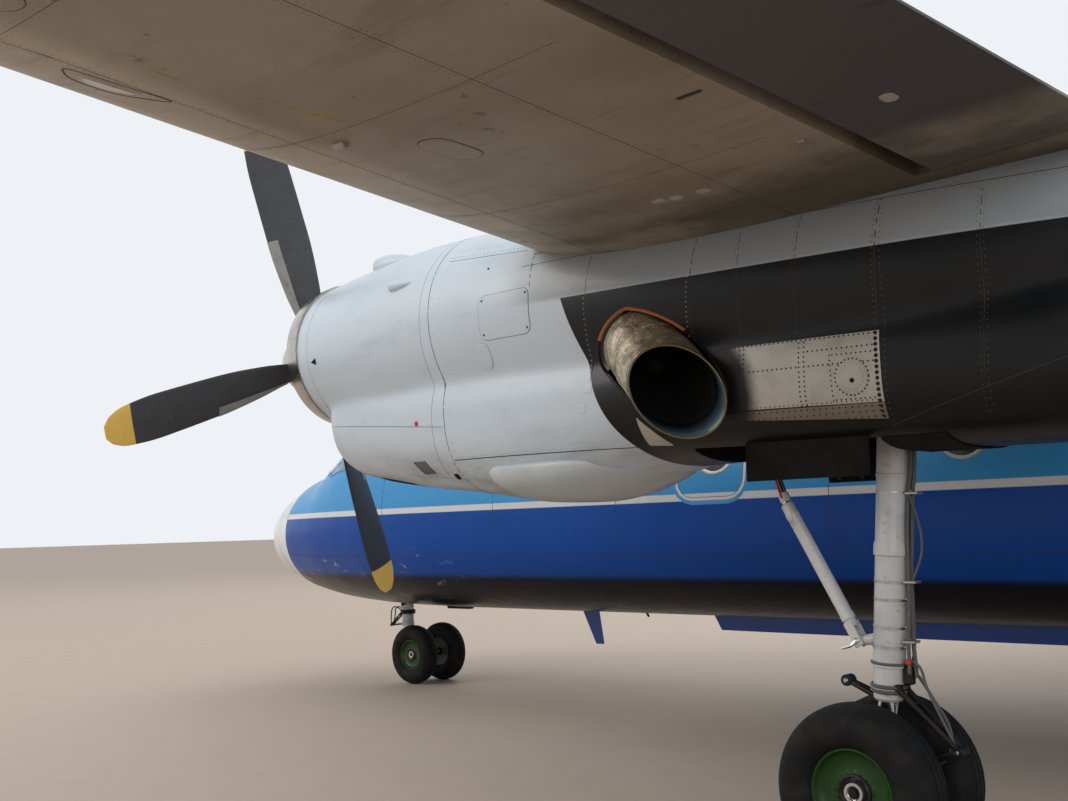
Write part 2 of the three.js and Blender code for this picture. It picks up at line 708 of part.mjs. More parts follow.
function intakeRing() {
  const { front, back, outer, lip, inner } = INTAKE;
  const profile = [
    [inner + 15, back - GAP], [inner, front + 60], [inner + 15, front + 18], [(inner + lip) / 2, front],
    [lip, front + 18], [outer - 12, front + 80], [outer, back - GAP], [inner + 15, back - GAP],
  ].map(([radius, station]) => [radius, at(station)]);
  return turnedAlong(profile, NACELLE_SIDES).translate([ENGINE_X, 0, HUB_HEIGHT]);
}

// Exhaust: the pipe runs outwards, aft and down to its outlet, whose rim is cut at a slant to the pipe.
// Lengths are measured back from the outlet's middle, and the forms that cut run past it by reach.
const EXHAUST = {
  outlet: [4727, 10024, 2468],
  along: [0.461, 0.71, -0.533],
  face: [0.889, 0.418, -0.184],
  radius: 222,
  wall: 14,
  room: 25,
  length: 620,
  boreLength: 560,
  reach: 800,
};
const EXHAUST_SIDES = 24;

function exhaustOutlet() {
  const [x, station, height] = EXHAUST.outlet;
  return new THREE.Vector3(x, at(station), height);
}

// A round bar on the pipe's axis, from a distance inside the outlet to a distance outside it
function onExhaust(radius, inside, outside) {
  const along = new THREE.Vector3(...EXHAUST.along).normalize();
  const from = exhaustOutlet().addScaledVector(along, -inside);
  const to = exhaustOutlet().addScaledVector(along, outside);
  return rod(from.toArray(), to.toArray(), radius, radius, EXHAUST_SIDES);
}

// The hole runs on past the outlet, so that it opens the skin around the rim
function exhaustHole() {
  return onExhaust(EXHAUST.radius + EXHAUST.room, EXHAUST.length, EXHAUST.reach);
}

function exhaustPipe() {
  const { radius, wall, length, boreLength, face, reach } = EXHAUST;
  const away = exhaustOutlet().addScaledVector(new THREE.Vector3(...face).normalize(), reach);
  const beyondRim = rod(exhaustOutlet().toArray(), away.toArray(), reach, reach, EXHAUST_SIDES);
  const bore = onExhaust(radius - wall, boreLength, reach);
  return cut(onExhaust(radius, length - GAP, reach / 2), bore, beyondRim);
}

// Main gear doors, open on both sides of the leg
function gearDoors() {
  const { from, to, bottom, top, thickness } = GEAR_DOOR;
  return [-1, 1].map((side) => box(thickness, to - from, top - bottom,
    ENGINE_X + side * (WHEEL_WELL.halfWidth + thickness / 2), at((from + to) / 2), (bottom + top) / 2));
}

// Propellers: radius, chord, thickness, pitch in degrees
const BLADE = [
  [150, 150, 110, 52],
  [330, 190, 80, 45],
  [600, 275, 50, 35],
  [1000, 330, 34, 26],
  [1500, 335, 22, 18],
  [1780, 290, 16, 15],
  [1900, 200, 12, 14],
  [PROP_RADIUS, 90, 9, 14],
];
// Outline of a blade section in parts of its chord and thickness, from the leading edge round
const BLADE_SECTION = [
  [0.5, 0], [0.38, 0.45], [0.1, 0.5], [-0.25, 0.32], [-0.5, 0.03], [-0.25, -0.25], [0.1, -0.4], [0.38, -0.35],
];

function blade(angle) {
  const rings = BLADE.map(([radius, chord, thick, pitch]) => {
    const turn = THREE.MathUtils.degToRad(pitch);
    return BLADE_SECTION.map(([c, t]) => {
      const across = c * chord * Math.cos(turn) + t * thick * Math.sin(turn);
      const fore = -c * chord * Math.sin(turn) + t * thick * Math.cos(turn);
      return [across, fore, radius];
    });
  });
  return loft(rings).rotate([0, 90 - angle, 0]);
}

// Spinner: radius, station
const SPINNER = [
  [0, 5560], [90, 5580], [180, 5650], [240, 5760], [275, 5900], [285, 6050], [285, 6190], [0, 6190],
];
const PROP_SHAFT = { radius: 90, to: 6425 };
const BLADE_COLLAR = { radius: 88, from: 200, to: 322 };

function propeller() {
  const spinner = turnedAlong(SPINNER.map(([radius, station]) => [radius, at(station)]), 24);
  const shaft = rod([0, at(6100), 0], [0, at(PROP_SHAFT.to), 0], PROP_SHAFT.radius);
  const blades = [];
  for (let k = 0; k < BLADE_COUNT; k += 1) {
    const angle = FIRST_BLADE_ANGLE + (360 / BLADE_COUNT) * k;
    const collar = rod([0, 0, BLADE_COLLAR.from], [0, 0, BLADE_COLLAR.to], BLADE_COLLAR.radius)
      .rotate([0, 90 - angle, 0]);
    blades.push(join(blade(angle), collar).translate([0, at(PROP_STATION), 0]));
  }
  return join(spinner, shaft, ...blades).translate([0, 0, HUB_HEIGHT]);
}

function buildPropellers() {
  addPiece('propeller_left', propeller().translate([ENGINE_X, 0, 0]), 'blade');
  addPiece('propeller_right', propeller().translate([-ENGINE_X, 0, 0]), 'blade');
}

// Wheels
const TYRE_SIDES = 20;

function tyre(size, x, station) {
  const { radius, width, rim } = size;
  const half = width / 2;
  const profile = [
    [rim, -half * 0.55], [rim + 30, -half * 0.85], [radius * 0.75, -half], [radius * 0.90, -half * 0.80],
    [radius * 0.975, -half * 0.5], [radius, -half * 0.2], [radius, half * 0.2], [radius * 0.975, half * 0.5],
    [radius * 0.90, half * 0.80], [radius * 0.75, half], [rim + 30, half * 0.85], [rim, half * 0.55],
    [rim, -half * 0.55],
  ];
  return turnedAcross(profile, TYRE_SIDES).translate([x, at(station), radius]);
}

// A pair of wheels on the axle that joins them
function wheelPair(size, offset, axle, x, station) {
  const rim = size.rim - GAP;
  const half = size.width / 2;
  const outer = offset + half * 0.62;
  const dish = offset + half * 0.1;
  const inner = offset - half * 0.55;
  const side = [
    [axle, dish - 45], [rim - 22, dish - 45], [rim - 22, inner], [rim, inner], [rim, outer],
    [rim - 14, outer], [rim - 40, dish], [axle + 45, dish], [axle + 30, outer], [0, outer],
  ];
  const profile = [...side.map(([radius, along]) => [radius, -along]).reverse(), ...side];
  return turnedAcross(profile, TYRE_SIDES).translate([x, at(station), size.radius]);
}

const MAIN_AXLE_RADIUS = 48;
const NOSE_AXLE_RADIUS = 34;
const BEARING_GAP = 2;

function buildWheels() {
  for (const [side, sign] of [['left', 1], ['right', -1]]) {
    const x = sign * ENGINE_X;
    const offset = sign * MAIN_WHEEL_OFFSET;
    addPiece(`main_tyre_${side}_outer`, tyre(MAIN_TYRE, x + offset, MAIN_STATION), 'rubber');
    addPiece(`main_tyre_${side}_inner`, tyre(MAIN_TYRE, x - offset, MAIN_STATION), 'rubber');
    addPiece(`main_wheels_${side}`,
      wheelPair(MAIN_TYRE, MAIN_WHEEL_OFFSET, MAIN_AXLE_RADIUS, x, MAIN_STATION), 'wheel');
    addPiece(`nose_tyre_${side}`, tyre(NOSE_TYRE, sign * NOSE_WHEEL_OFFSET, NOSE_STATION), 'rubber');
  }
  addPiece('nose_wheels',
    wheelPair(NOSE_TYRE, NOSE_WHEEL_OFFSET, NOSE_AXLE_RADIUS, 0, NOSE_STATION), 'wheel');
}

// Main leg: it leans back a little as it rises
const LEG = {
  foot: 10676, lean: 0.083, top: 2440, cylinderEnd: 960, radius: 82, piston: 54, housing: 74, halfHousing: 60,
};
// Drag brace: station and height of its lower eye, knee and upper end
const BRACE = {
  eye: [10570, 1157], knee: [10170, 1880], top: [9965, 2480], radius: 36, ram: 22, eyeRadius: 30,
};

function onLeg(height) {
  return [ENGINE_X, at(LEG.foot + LEG.lean * (height - MAIN_TYRE.radius)), height];
}

function fromLeg([station, height], x = ENGINE_X) {
  return [x, at(station), height];
}

function across(station, height, halfWidth, radius, x, sides = 16) {
  const ends = [x - halfWidth, x + halfWidth].map((end) => [end, at(station), height]);
  return rod(...ends, radius, radius, sides);
}

// Bars of the leg: stations and heights of their ends, half width, thickness
const TORQUE_LINKS = [
  [[10790, 930], [11080, 640], 42, 40],
  [[11080, 640], [10700, 470], 37, 40],
];
const LEVER = [[10690, 870], [10490, 948], 26, 46];

function bar([from, to, halfWidth, thickness], x) {
  const angle = Math.atan2(to[1] - from[1], to[0] - from[0]);
  const length = Math.hypot(to[0] - from[0], to[1] - from[1]) + thickness;
  return toSolid(new THREE.BoxGeometry(2 * halfWidth, length, thickness).rotateX(angle)
    .translate(x, at((from[0] + to[0]) / 2), (from[1] + to[1]) / 2));
}

function buildMainLegs() {
  const { top, cylinderEnd, radius, piston, housing, halfHousing } = LEG;
  const cylinder = rod(onLeg(cylinderEnd), onLeg(top), radius, radius, 20);
  const collar = rod(onLeg(1620), onLeg(1660), radius + 8, radius + 8, 20);
  const rodBelow = rod(onLeg(MAIN_TYRE.radius + 30), onLeg(cylinderEnd + 40), piston, piston, 16);
  const trunnion = across(10838, 2400, WHEEL_WELL.halfWidth - GAP, 60, ENGINE_X);
  const crossTube = across(MAIN_STATION, MAIN_TYRE.radius, halfHousing, housing, ENGINE_X, 20);
  const lug = rod(onLeg(1200), fromLeg(BRACE.eye), 34, 26, 10);
  const eye = across(...BRACE.eye, 30, BRACE.eyeRadius, ENGINE_X, 12);
  const bars = [...TORQUE_LINKS, LEVER].map((one) => bar(one, ENGINE_X));
  const bore = across(MAIN_STATION, MAIN_TYRE.radius, halfHousing + 20, MAIN_AXLE_RADIUS + BEARING_GAP,
    ENGINE_X, 24);
  const leg = join(cylinder, collar, rodBelow, trunnion, crossTube, lug, eye, ...bars);
  addPair('main_leg', cut(leg, bore), 'leg');
  addPair('main_brace', mainBrace(), 'leg');
}

function mainBrace() {
  const { eye, knee, top, radius, ram } = BRACE;
  const start = [eye[0] + (knee[0] - eye[0]) * 0.09, eye[1] + (knee[1] - eye[1]) * 0.09];
  const tube = rod(fromLeg(start), fromLeg(knee), radius, radius, 14);
  const upper = rod(fromLeg(knee), fromLeg(top), ram, ram, 12);
  const cheeks = [-1, 1].map((side) => bar([[start[0] - 20, start[1] + 36], eye, 7, 56],
    ENGINE_X + side * (30 + GAP + 7)));
  return join(tube, upper, ...cheeks);
}

// Nose gear: an upright leg ahead of the wheels, with an arm that runs back to their axle
const NOSE_LEG = { station: 2385, top: 1300, end: 700, radius: 70, piston: 46, foot: 560, collar: 60 };
const NOSE_AXLE_TUBE = { halfWidth: 62, radius: 56 };
const NOSE_BRACE = { eye: [2300, 905], top: [2150, 1280], radius: 24, lugTop: 925 };
// The ring that turns on the leg, and bars: stations and heights of their ends, half width, thickness
const NOSE_RING = { from: 790, to: 840, radius: 92, room: 6 };
const NOSE_BARS = [
  [[2385, 600], [2750, 345], 46, 84],
  [[2302, 815], [2085, 645], 30, 26],
  [[2085, 645], [2385, 672], 28, 26],
];
// Door leaves, closed behind the leg
const NOSE_DOOR = { from: 2640, to: 3776, inner: 2, outer: 257, bottom: 900, top: 945 };

function onNoseLeg(height) {
  return [0, at(NOSE_LEG.station), height];
}

function noseRod(from, to, radius, sides = 18) {
  return rod(onNoseLeg(from), onNoseLeg(to), radius, radius, sides);
}

function buildNoseLeg() {
  const { top, end, radius } = NOSE_LEG;
  const cylinder = noseRod(end + GAP, top - GAP, radius);
  const [eye, eyeHeight] = NOSE_BRACE.eye;
  const lug = (grow) => rod(onNoseLeg(NOSE_BRACE.lugTop),
    [0, at(eye + NOSE_BRACE.radius / 2 - grow), eyeHeight],
    NOSE_BRACE.radius + grow, NOSE_BRACE.radius + grow, 10);
  addPiece('nose_leg', join(cylinder, lug(0)), 'leg');
  const brace = rod([0, at(eye + 4), eyeHeight], [0, at(NOSE_BRACE.top[0]), NOSE_BRACE.top[1]],
    NOSE_BRACE.radius, NOSE_BRACE.radius, 12);
  addPiece('nose_brace', cut(brace, lug(1), noseRod(end, top, radius + 1)), 'black');
}

function buildNoseFork() {
  const { end, radius, piston, foot, collar } = NOSE_LEG;
  const axleHeight = NOSE_TYRE.radius;
  const rodBelow = noseRod(foot, end, piston, 16);
  const lowerCollar = noseRod(end - collar, end, radius + 6);
  const ring = noseRod(NOSE_RING.from, NOSE_RING.to, NOSE_RING.radius);
  const room = noseRod(end, NOSE_LEG.top, radius + NOSE_RING.room);
  const { halfWidth, radius: tube } = NOSE_AXLE_TUBE;
  const crossTube = across(NOSE_STATION, axleHeight, halfWidth, tube, 0, 18);
  const bore = across(NOSE_STATION, axleHeight, halfWidth + 20, NOSE_AXLE_RADIUS + BEARING_GAP, 0, 24);
  const bars = NOSE_BARS.map((one) => bar(one, 0));
  const fork = join(rodBelow, lowerCollar, ring, crossTube, ...bars);
  addPiece('nose_fork', cut(fork, room, bore), 'leg');
}

function buildNoseDoors() {
  const { from, to, inner, outer, bottom, top } = NOSE_DOOR;
  const leaf = box(outer - inner, to - from, top - bottom,
    (inner + outer) / 2, at((from + to) / 2), (bottom + top) / 2);
  addPair('nose_door', leaf.intersect(bodyLoft(FUSELAGE, 2000, 4000, BODY_SIDES, 0, 0)), 'blue');
}

buildFuselage();
buildBelly();
buildWing();
buildTail();
buildNacelle();
buildPropellers();
buildMainLegs();
buildNoseLeg();
buildNoseFork();
buildNoseDoors();
buildWheels();

export default group;
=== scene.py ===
# The looks of a twin turboprop airliner with a high wing, parked on its gear.
# Metres, +Z up, nose towards -Y, left wing towards +X, ground at z = 0.
# A station is the distance aft of the nose tip.
import json
import math

import bmesh
import bpy
import numpy as np
from mathutils import Matrix, Vector


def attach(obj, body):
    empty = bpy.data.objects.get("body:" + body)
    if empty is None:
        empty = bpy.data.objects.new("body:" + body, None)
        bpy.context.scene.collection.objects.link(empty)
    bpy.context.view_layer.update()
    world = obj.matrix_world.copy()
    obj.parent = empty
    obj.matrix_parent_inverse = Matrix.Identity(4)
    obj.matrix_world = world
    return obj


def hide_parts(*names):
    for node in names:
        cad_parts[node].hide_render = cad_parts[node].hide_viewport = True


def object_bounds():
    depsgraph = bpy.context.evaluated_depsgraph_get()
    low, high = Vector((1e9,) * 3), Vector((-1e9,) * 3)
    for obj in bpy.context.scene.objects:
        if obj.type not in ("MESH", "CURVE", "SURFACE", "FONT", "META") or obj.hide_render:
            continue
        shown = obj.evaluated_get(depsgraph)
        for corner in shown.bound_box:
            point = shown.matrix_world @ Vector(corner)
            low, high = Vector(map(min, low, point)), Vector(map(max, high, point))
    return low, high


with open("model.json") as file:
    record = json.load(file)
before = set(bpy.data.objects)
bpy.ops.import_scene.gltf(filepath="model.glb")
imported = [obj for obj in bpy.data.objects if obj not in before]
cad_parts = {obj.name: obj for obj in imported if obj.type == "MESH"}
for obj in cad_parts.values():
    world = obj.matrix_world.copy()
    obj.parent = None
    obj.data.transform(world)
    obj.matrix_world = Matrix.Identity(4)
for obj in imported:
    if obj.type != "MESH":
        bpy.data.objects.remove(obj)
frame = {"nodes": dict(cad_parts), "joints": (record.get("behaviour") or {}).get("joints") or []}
cad_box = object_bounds()

HALF_LENGTH = cad_box[1].y
HALF_SPAN = cad_box[1].x
JOINTS = {joint["name"]: joint for joint in frame["joints"]}
HUB = Vector(JOINTS["propeller_left_spin"]["pos_m"])
MAIN_AXLE = Vector(JOINTS["main_wheels_left_spin"]["pos_m"])
NOSE_AXLE = Vector(JOINTS["nose_wheels_spin"]["pos_m"])
ENGINE_X = HUB.x


def at(station):
    return station - HALF_LENGTH


def station_of(y):
    return y + HALF_LENGTH


# Camera, at the photograph's place: under the left wing, behind the engine
PHOTO_WIDTH = 1068
CAMERA_PLACE = Vector((9.7521, 1.9392, 1.7908))
CAMERA_YAW = math.radians(43.0538)
CAMERA_PITCH = math.radians(6.0384)
CAMERA_ROLL = math.radians(-1.6492)
CAMERA_FOCAL_PIXELS = 1199.85
SENSOR = 36.0


def make_camera():
    forward = Vector((-math.cos(CAMERA_YAW) * math.cos(CAMERA_PITCH),
                      -math.sin(CAMERA_YAW) * math.cos(CAMERA_PITCH), math.sin(CAMERA_PITCH)))
    right = forward.cross(Vector((0, 0, 1))).normalized()
    up = right.cross(forward)
    local_x = math.cos(CAMERA_ROLL) * right + math.sin(CAMERA_ROLL) * up
    local_y = math.cos(CAMERA_ROLL) * up - math.sin(CAMERA_ROLL) * right
    data = bpy.data.cameras.new("camera")
    data.sensor_width = SENSOR
    data.lens = CAMERA_FOCAL_PIXELS * SENSOR / PHOTO_WIDTH
    data.clip_end = 2000
    camera = bpy.data.objects.new("camera", data)
    camera.matrix_world = Matrix((local_x, local_y, -forward)).transposed().to_4x4()
    camera.location = CAMERA_PLACE
    bpy.context.scene.collection.objects.link(camera)
    bpy.context.scene.camera = camera


make_camera()


# Materials

class Paint:
    """A material made of shader nodes. Its coordinates are metres in the aircraft's frame."""

    def __init__(self, name, rough=0.4, metal=0.0, coat=0.0, shine=0.5):
        self.material = bpy.data.materials.new(name)
        self.material.use_nodes = True
        self.tree = self.material.node_tree
        self.shader = self.tree.nodes["Principled BSDF"]
        self.shader.inputs["Roughness"].default_value = rough
        self.shader.inputs["Metallic"].default_value = metal
        self.shader.inputs["Coat Weight"].default_value = coat
        self.shader.inputs["Coat Roughness"].default_value = 0.08
        self.shader.inputs["Specular IOR Level"].default_value = shine
        self.place = self.node("ShaderNodeTexCoord").outputs["Object"]
        self.x, self.y, self.z = self.node("ShaderNodeSeparateXYZ", Vector=self.place).outputs

    def node(self, kind, **inputs):
        made = self.tree.nodes.new(kind)
        for key, value in inputs.items():
            self.feed(made.inputs[key.replace("_", " ")], value)
        return made

    def feed(self, socket, value):
        if isinstance(value, bpy.types.NodeSocket):
            self.tree.links.new(value, socket)
        else:
            socket.default_value = value

    def math(self, operation, a, b=0.0):
        made = self.tree.nodes.new("ShaderNodeMath")
        made.operation = operation
        self.feed(made.inputs[0], a)
        self.feed(made.inputs[1], b)
        return made.outputs[0]

    def times(self, a, b):
        return self.math("MULTIPLY", a, b)

    def plus(self, a, b):
        return self.math("ADD", a, b)

    def minus(self, a, b):
        return self.math("SUBTRACT", a, b)

    def inverse(self, mask):
        return self.minus(1.0, mask)

    def step(self, value, low, high):
        """0 where value is below low, 1 above high, smooth between."""
        made = self.tree.nodes.new("ShaderNodeMapRange")
        made.interpolation_type = "SMOOTHSTEP"
        for key, number in (("Value", value), ("From Min", low), ("From Max", high)):
            self.feed(made.inputs[key], number)
        return made.outputs[0]

    def band(self, value, low, high, soft):
        rise = self.step(value, low - soft, low + soft)
        return self.times(rise, self.inverse(self.step(value, high - soft, high + soft)))

    def both(self, *masks):
        result = masks[0]
        for mask in masks[1:]:
            result = self.times(result, mask)
        return result

    def either(self, *masks):
        result = masks[0]
        for mask in masks[1:]:
            result = self.math("MAXIMUM", result, mask)
        return result

    def stretched(self, x=1.0, y=1.0, z=1.0):
        made = self.tree.nodes.new("ShaderNodeVectorMath")
        made.operation = "MULTIPLY"
        self.feed(made.inputs[0], self.place)
        made.inputs[1].default_value = (x, y, z)
        return made.outputs[0]

    def noise(self, scale, detail=4.0, rough=0.55, stretch=None):
        vector = self.stretched(*stretch) if stretch else self.place
        made = self.node("ShaderNodeTexNoise", Vector=vector, Scale=scale, Detail=detail, Roughness=rough)
        return made.outputs["Fac"]

    def mix(self, part, a, b):
        made = self.tree.nodes.new("ShaderNodeMix")
        made.data_type = "RGBA"
        self.feed(made.inputs[0], part)
        for socket, value in ((made.inputs[6], a), (made.inputs[7], b)):
            self.feed(socket, value if isinstance(value, bpy.types.NodeSocket) else (*value, 1.0))
        return made.outputs[2]

    def layer(self, base, mask, amount, tone):
        """The base colour, covered by a tone where the mask is bright."""
        return self.mix(self.times(mask, amount), base, tone)

    def colour(self, value):
        self.feed(self.shader.inputs["Base Color"], value)

    def rough(self, value, low, high):
        made = self.node("ShaderNodeMapRange", Value=value, To_Min=low, To_Max=high)
        self.feed(self.shader.inputs["Roughness"], made.outputs[0])

    def bump(self, *layers):
        """Each layer is (height, distance in metres)."""
        normal = None
        for height, distance in layers:
            made = self.node("ShaderNodeBump", Height=height, Distance=distance)
            if normal is not None:
                self.feed(made.inputs["Normal"], normal)
            normal = made.outputs["Normal"]
        self.feed(self.shader.inputs["Normal"], normal)


SKY_BLUE = (0.045, 0.27, 0.56)
ROYAL_BLUE = (0.0, 0.055, 0.30)
# Near black: the belly's navy paint, darkened as a painted reflection of the shadowed ground under it
NAVY_AND_PAINTED_SHADE = (0.001, 0.002, 0.008)
WHITE = (0.60, 0.61, 0.62)
NACELLE_WHITE = (0.53, 0.60, 0.665)
WING_GREY = (0.33, 0.285, 0.22)
GRIME = (0.07, 0.06, 0.045)
BARE_METAL = (0.42, 0.40, 0.37)
STRIPE = (1.975, 2.035)
BELLY_EDGE = 1.33


def dirty(paint, base, amount=0.25, stretch=(1.0, 0.25, 1.0), tone=GRIME):
    """Base colour with soft patches, streaks along the airflow and fine specks."""
    patches = paint.step(paint.noise(0.9, 5.0, 0.6), 0.48, 0.75)
    streaks = paint.step(paint.noise(5.0, 6.0, 0.65, stretch), 0.52, 0.8)
    specks = paint.step(paint.noise(42.0, 3.0, 0.7), 0.66, 0.74)
    part = paint.times(paint.either(paint.times(patches, 0.6), streaks), amount)
    part = paint.math("MAXIMUM", part, paint.times(specks, amount * 0.9))
    return paint.mix(part, base, tone)


def skin_bump(paint, waves=0.0016):
    """Slack panels between frames, and the fine texture of old paint."""
    paint.bump((paint.noise(2.6, 2.0, 0.5, (1.0, 0.8, 1.0)), waves * 6),
               (paint.noise(60.0, 4.0, 0.6), 0.0006))


def body_paint():
    paint = Paint("body_paint", coat=0.05, shine=0.2)
    below = paint.step(paint.z, STRIPE[0] - 0.004, STRIPE[0] + 0.004)
    above = paint.step(paint.z, STRIPE[1] - 0.004, STRIPE[1] + 0.004)
    # Below BELLY_EDGE the blue goes near black: navy paint with a painted reflection of the shadowed ground
    belly = paint.step(paint.z, BELLY_EDGE - 0.05, BELLY_EDGE + 0.03)
    lower = paint.mix(belly, NAVY_AND_PAINTED_SHADE, ROYAL_BLUE)
    colour = paint.mix(above, paint.mix(below, lower, WHITE), SKY_BLUE)
    scuffs = paint.both(paint.step(paint.noise(9.0, 6.0, 0.7, (1, 0.5, 1)), 0.6, 0.68),
                        paint.band(paint.y, at(1.2), at(4.5), 0.4), paint.band(paint.z, 1.0, 1.5, 0.15))
    colour = dirty(paint, colour, 0.05, tone=(0.02, 0.022, 0.025))
    colour = paint.layer(colour, scuffs, 0.7, BARE_METAL)
    # Brownish patches on the belly's lowest strip: dust, and a painted reflection of the ground
    dust = paint.both(paint.step(paint.noise(4.0, 6.0, 0.65, (1, 0.3, 1)), 0.35, 0.7),
                      paint.inverse(paint.step(paint.z, 0.94, 1.02)))
    colour = paint.layer(colour, dust, 0.6, (0.07, 0.055, 0.04))
    paint.colour(colour)
    paint.rough(paint.noise(7.0, 5.0), 0.2, 0.42)
    skin_bump(paint)
    return paint.material


# The dark field's edges, from points on the nacelle's side: (station, height)
BLACK_CORNER = (9.14, 3.11)
BLACK_LOW = (9.287, 2.638)
BLACK_RIGHT = (11.95, 3.05)
BLACK_LEAN = (BLACK_LOW[0] - BLACK_CORNER[0]) / (BLACK_CORNER[1] - BLACK_LOW[1])
BLACK_FRONT = at(BLACK_CORNER[0]) + BLACK_LEAN * BLACK_CORNER[1]
BLACK_FALL = (BLACK_CORNER[1] - BLACK_RIGHT[1]) / (BLACK_RIGHT[0] - BLACK_CORNER[0])
BLACK_TOP = BLACK_CORNER[1] + BLACK_FALL * at(BLACK_CORNER[0])
BLACK_CURVE_TOP = 2.6
BLACK_CURVE = 0.6
WING_SHADOW_GREY = (0.13, 0.125, 0.12)


def nacelle_paint(name, black):
    paint = Paint(name, coat=0.05, shine=0.3)
    colour = dirty(paint, NACELLE_WHITE, 0.22)
    # Brownish patches low on the cowl and nacelle, below about 2.0 to 2.45 m: grime, and painted shade of the
    # undersides
    low = paint.both(paint.step(paint.noise(3.0, 6.0, 0.7, (1, 0.35, 1)), 0.42, 0.72),
                     paint.inverse(paint.step(paint.z, 2.0, 2.45)))
    colour = paint.layer(colour, low, 0.75, (0.17, 0.15, 0.12))
    if black:
        # The dark field behind the exhaust: its front edge leans and then rounds, its top edge falls aft
        front = paint.plus(paint.y, paint.times(paint.z, BLACK_LEAN))
        below_curve = paint.math("MAXIMUM", paint.minus(BLACK_CURVE_TOP, paint.z), 0.0)
        round_off = paint.math("POWER", below_curve, 2.0)
        front = paint.minus(front, paint.times(round_off, BLACK_CURVE))
        top = paint.plus(paint.z, paint.times(paint.y, BLACK_FALL))
        dark = paint.both(paint.step(front, BLACK_FRONT - 0.003, BLACK_FRONT + 0.003),
                          paint.inverse(paint.step(top, BLACK_TOP - 0.003, BLACK_TOP + 0.003)))
        # Painted shadow of the wing: the white strip above the black field, up to the wing, is greyed
        painted_wing_shadow = paint.both(paint.step(top, BLACK_TOP - 0.02, BLACK_TOP + 0.02),
                                paint.step(paint.y, at(8.6), at(9.1)))
        colour = paint.layer(colour, painted_wing_shadow, 0.5, WING_SHADOW_GREY)
        # Painted shade and sheen on the black field: darker below about 2.25 to 2.7 m, slightly blue above,
        # and its lighter bluish streaks are part grime, part painted sheen
        field = paint.mix(paint.step(paint.z, 2.25, 2.7), (0.0015, 0.0015, 0.0015), (0.004, 0.0055, 0.0075))
        field = dirty(paint, field, 0.25, (1, 0.3, 1), (0.017, 0.02, 0.026))
        colour = paint.mix(dark, colour, field)
    paint.colour(colour)
    paint.rough(paint.noise(6.0, 5.0), 0.22, 0.5)
    skin_bump(paint, 0.0008)
    return paint.material


# The wing's leading edge, for its paler strip
WING_EDGE = 8.78
SWEEP_START = 4.6
SWEEP = 0.18


def wing_paint(name, flap=False):
    paint = Paint(name, coat=0.03, shine=0.35)
    bays = paint.step(paint.noise(0.55, 3.0, 0.5, (1.6, 0.8, 1.0)), 0.35, 0.7)
    base = paint.mix(bays, WING_GREY, (0.235, 0.195, 0.14))
    span = paint.math("ABSOLUTE", paint.x)
    sweep = paint.times(paint.math("MAXIMUM", paint.minus(span, SWEEP_START), 0.0), SWEEP)
    behind_edge = paint.minus(paint.minus(paint.y, sweep), at(WING_EDGE))
    nose = paint.inverse(paint.step(behind_edge, 0.50, 0.72))
    base = paint.layer(base, nose, 0.75, (0.50, 0.445, 0.355))
    if flap:
        outboard = paint.step(span, 5.05, 5.3)
        base = paint.mix(outboard, (0.25, 0.225, 0.19), (0.085, 0.08, 0.086))
    base = dirty(paint, base, 0.5, (0.8, 0.16, 1.0))
    beside_engine = paint.math("ABSOLUTE", paint.minus(span, ENGINE_X + 0.6))
    near_engine = paint.inverse(paint.step(beside_engine, 0.3, 1.9))
    oil = paint.both(paint.step(paint.noise(1.7, 7.0, 0.62, (0.7, 0.4, 1.0)), 0.40, 0.62), near_engine,
                     paint.step(paint.y, at(8.9), at(9.6)))
    base = paint.layer(base, oil, 0.8, (0.06, 0.048, 0.034))
    drips = paint.step(paint.noise(11.0, 6.0, 0.7, (1.0, 0.12, 1.0)), 0.56, 0.7)
    base = paint.layer(base, drips, 0.4, (0.09, 0.072, 0.05))
    spots = paint.step(paint.noise(7.0, 4.0, 0.6, (1.0, 0.8, 1.0)), 0.66, 0.72)
    base = paint.layer(base, spots, 0.5, (0.05, 0.042, 0.03))
    rust = paint.step(paint.noise(3.1, 7.0, 0.75), 0.68, 0.74)
    base = paint.layer(base, rust, 0.4, (0.30, 0.21, 0.10))
    if not flap:
        fan = paint.both(paint.band(paint.plus(paint.x, paint.times(paint.y, 0.25)), 4.02, 4.22, 0.1),
                         paint.band(paint.y, at(9.2), at(9.75), 0.12))
        base = paint.layer(base, fan, 0.4, (0.42, 0.37, 0.29))
    paint.colour(base)
    paint.rough(paint.noise(5.0, 6.0, 0.6), 0.32, 0.65)
    paint.bump((paint.noise(1.9, 2.0, 0.4, (1.0, 1.4, 1.0)), 0.012), (paint.noise(70.0, 4.0, 0.6), 0.0008))
    return paint.material


def plain_metal(name, tone, rough, spread=0.12, scratch=40.0, metal=1.0):
    """Bare or plated metal with brushed scratches and uneven stains."""
    paint = Paint(name, metal=metal)
    stains = paint.step(paint.noise(6.0, 6.0, 0.65), 0.4, 0.75)
    darker = tuple(value * 0.55 for value in tone)
    paint.colour(paint.layer(tone, stains, 0.6, darker))
    paint.rough(paint.noise(scratch, 4.0, 0.6, (1.0, 0.2, 1.0)), max(rough - spread, 0.03), rough + spread)
    paint.bump((paint.noise(scratch * 2, 3.0, 0.5, (1.0, 0.15, 1.0)), 0.0004))
    return paint.material


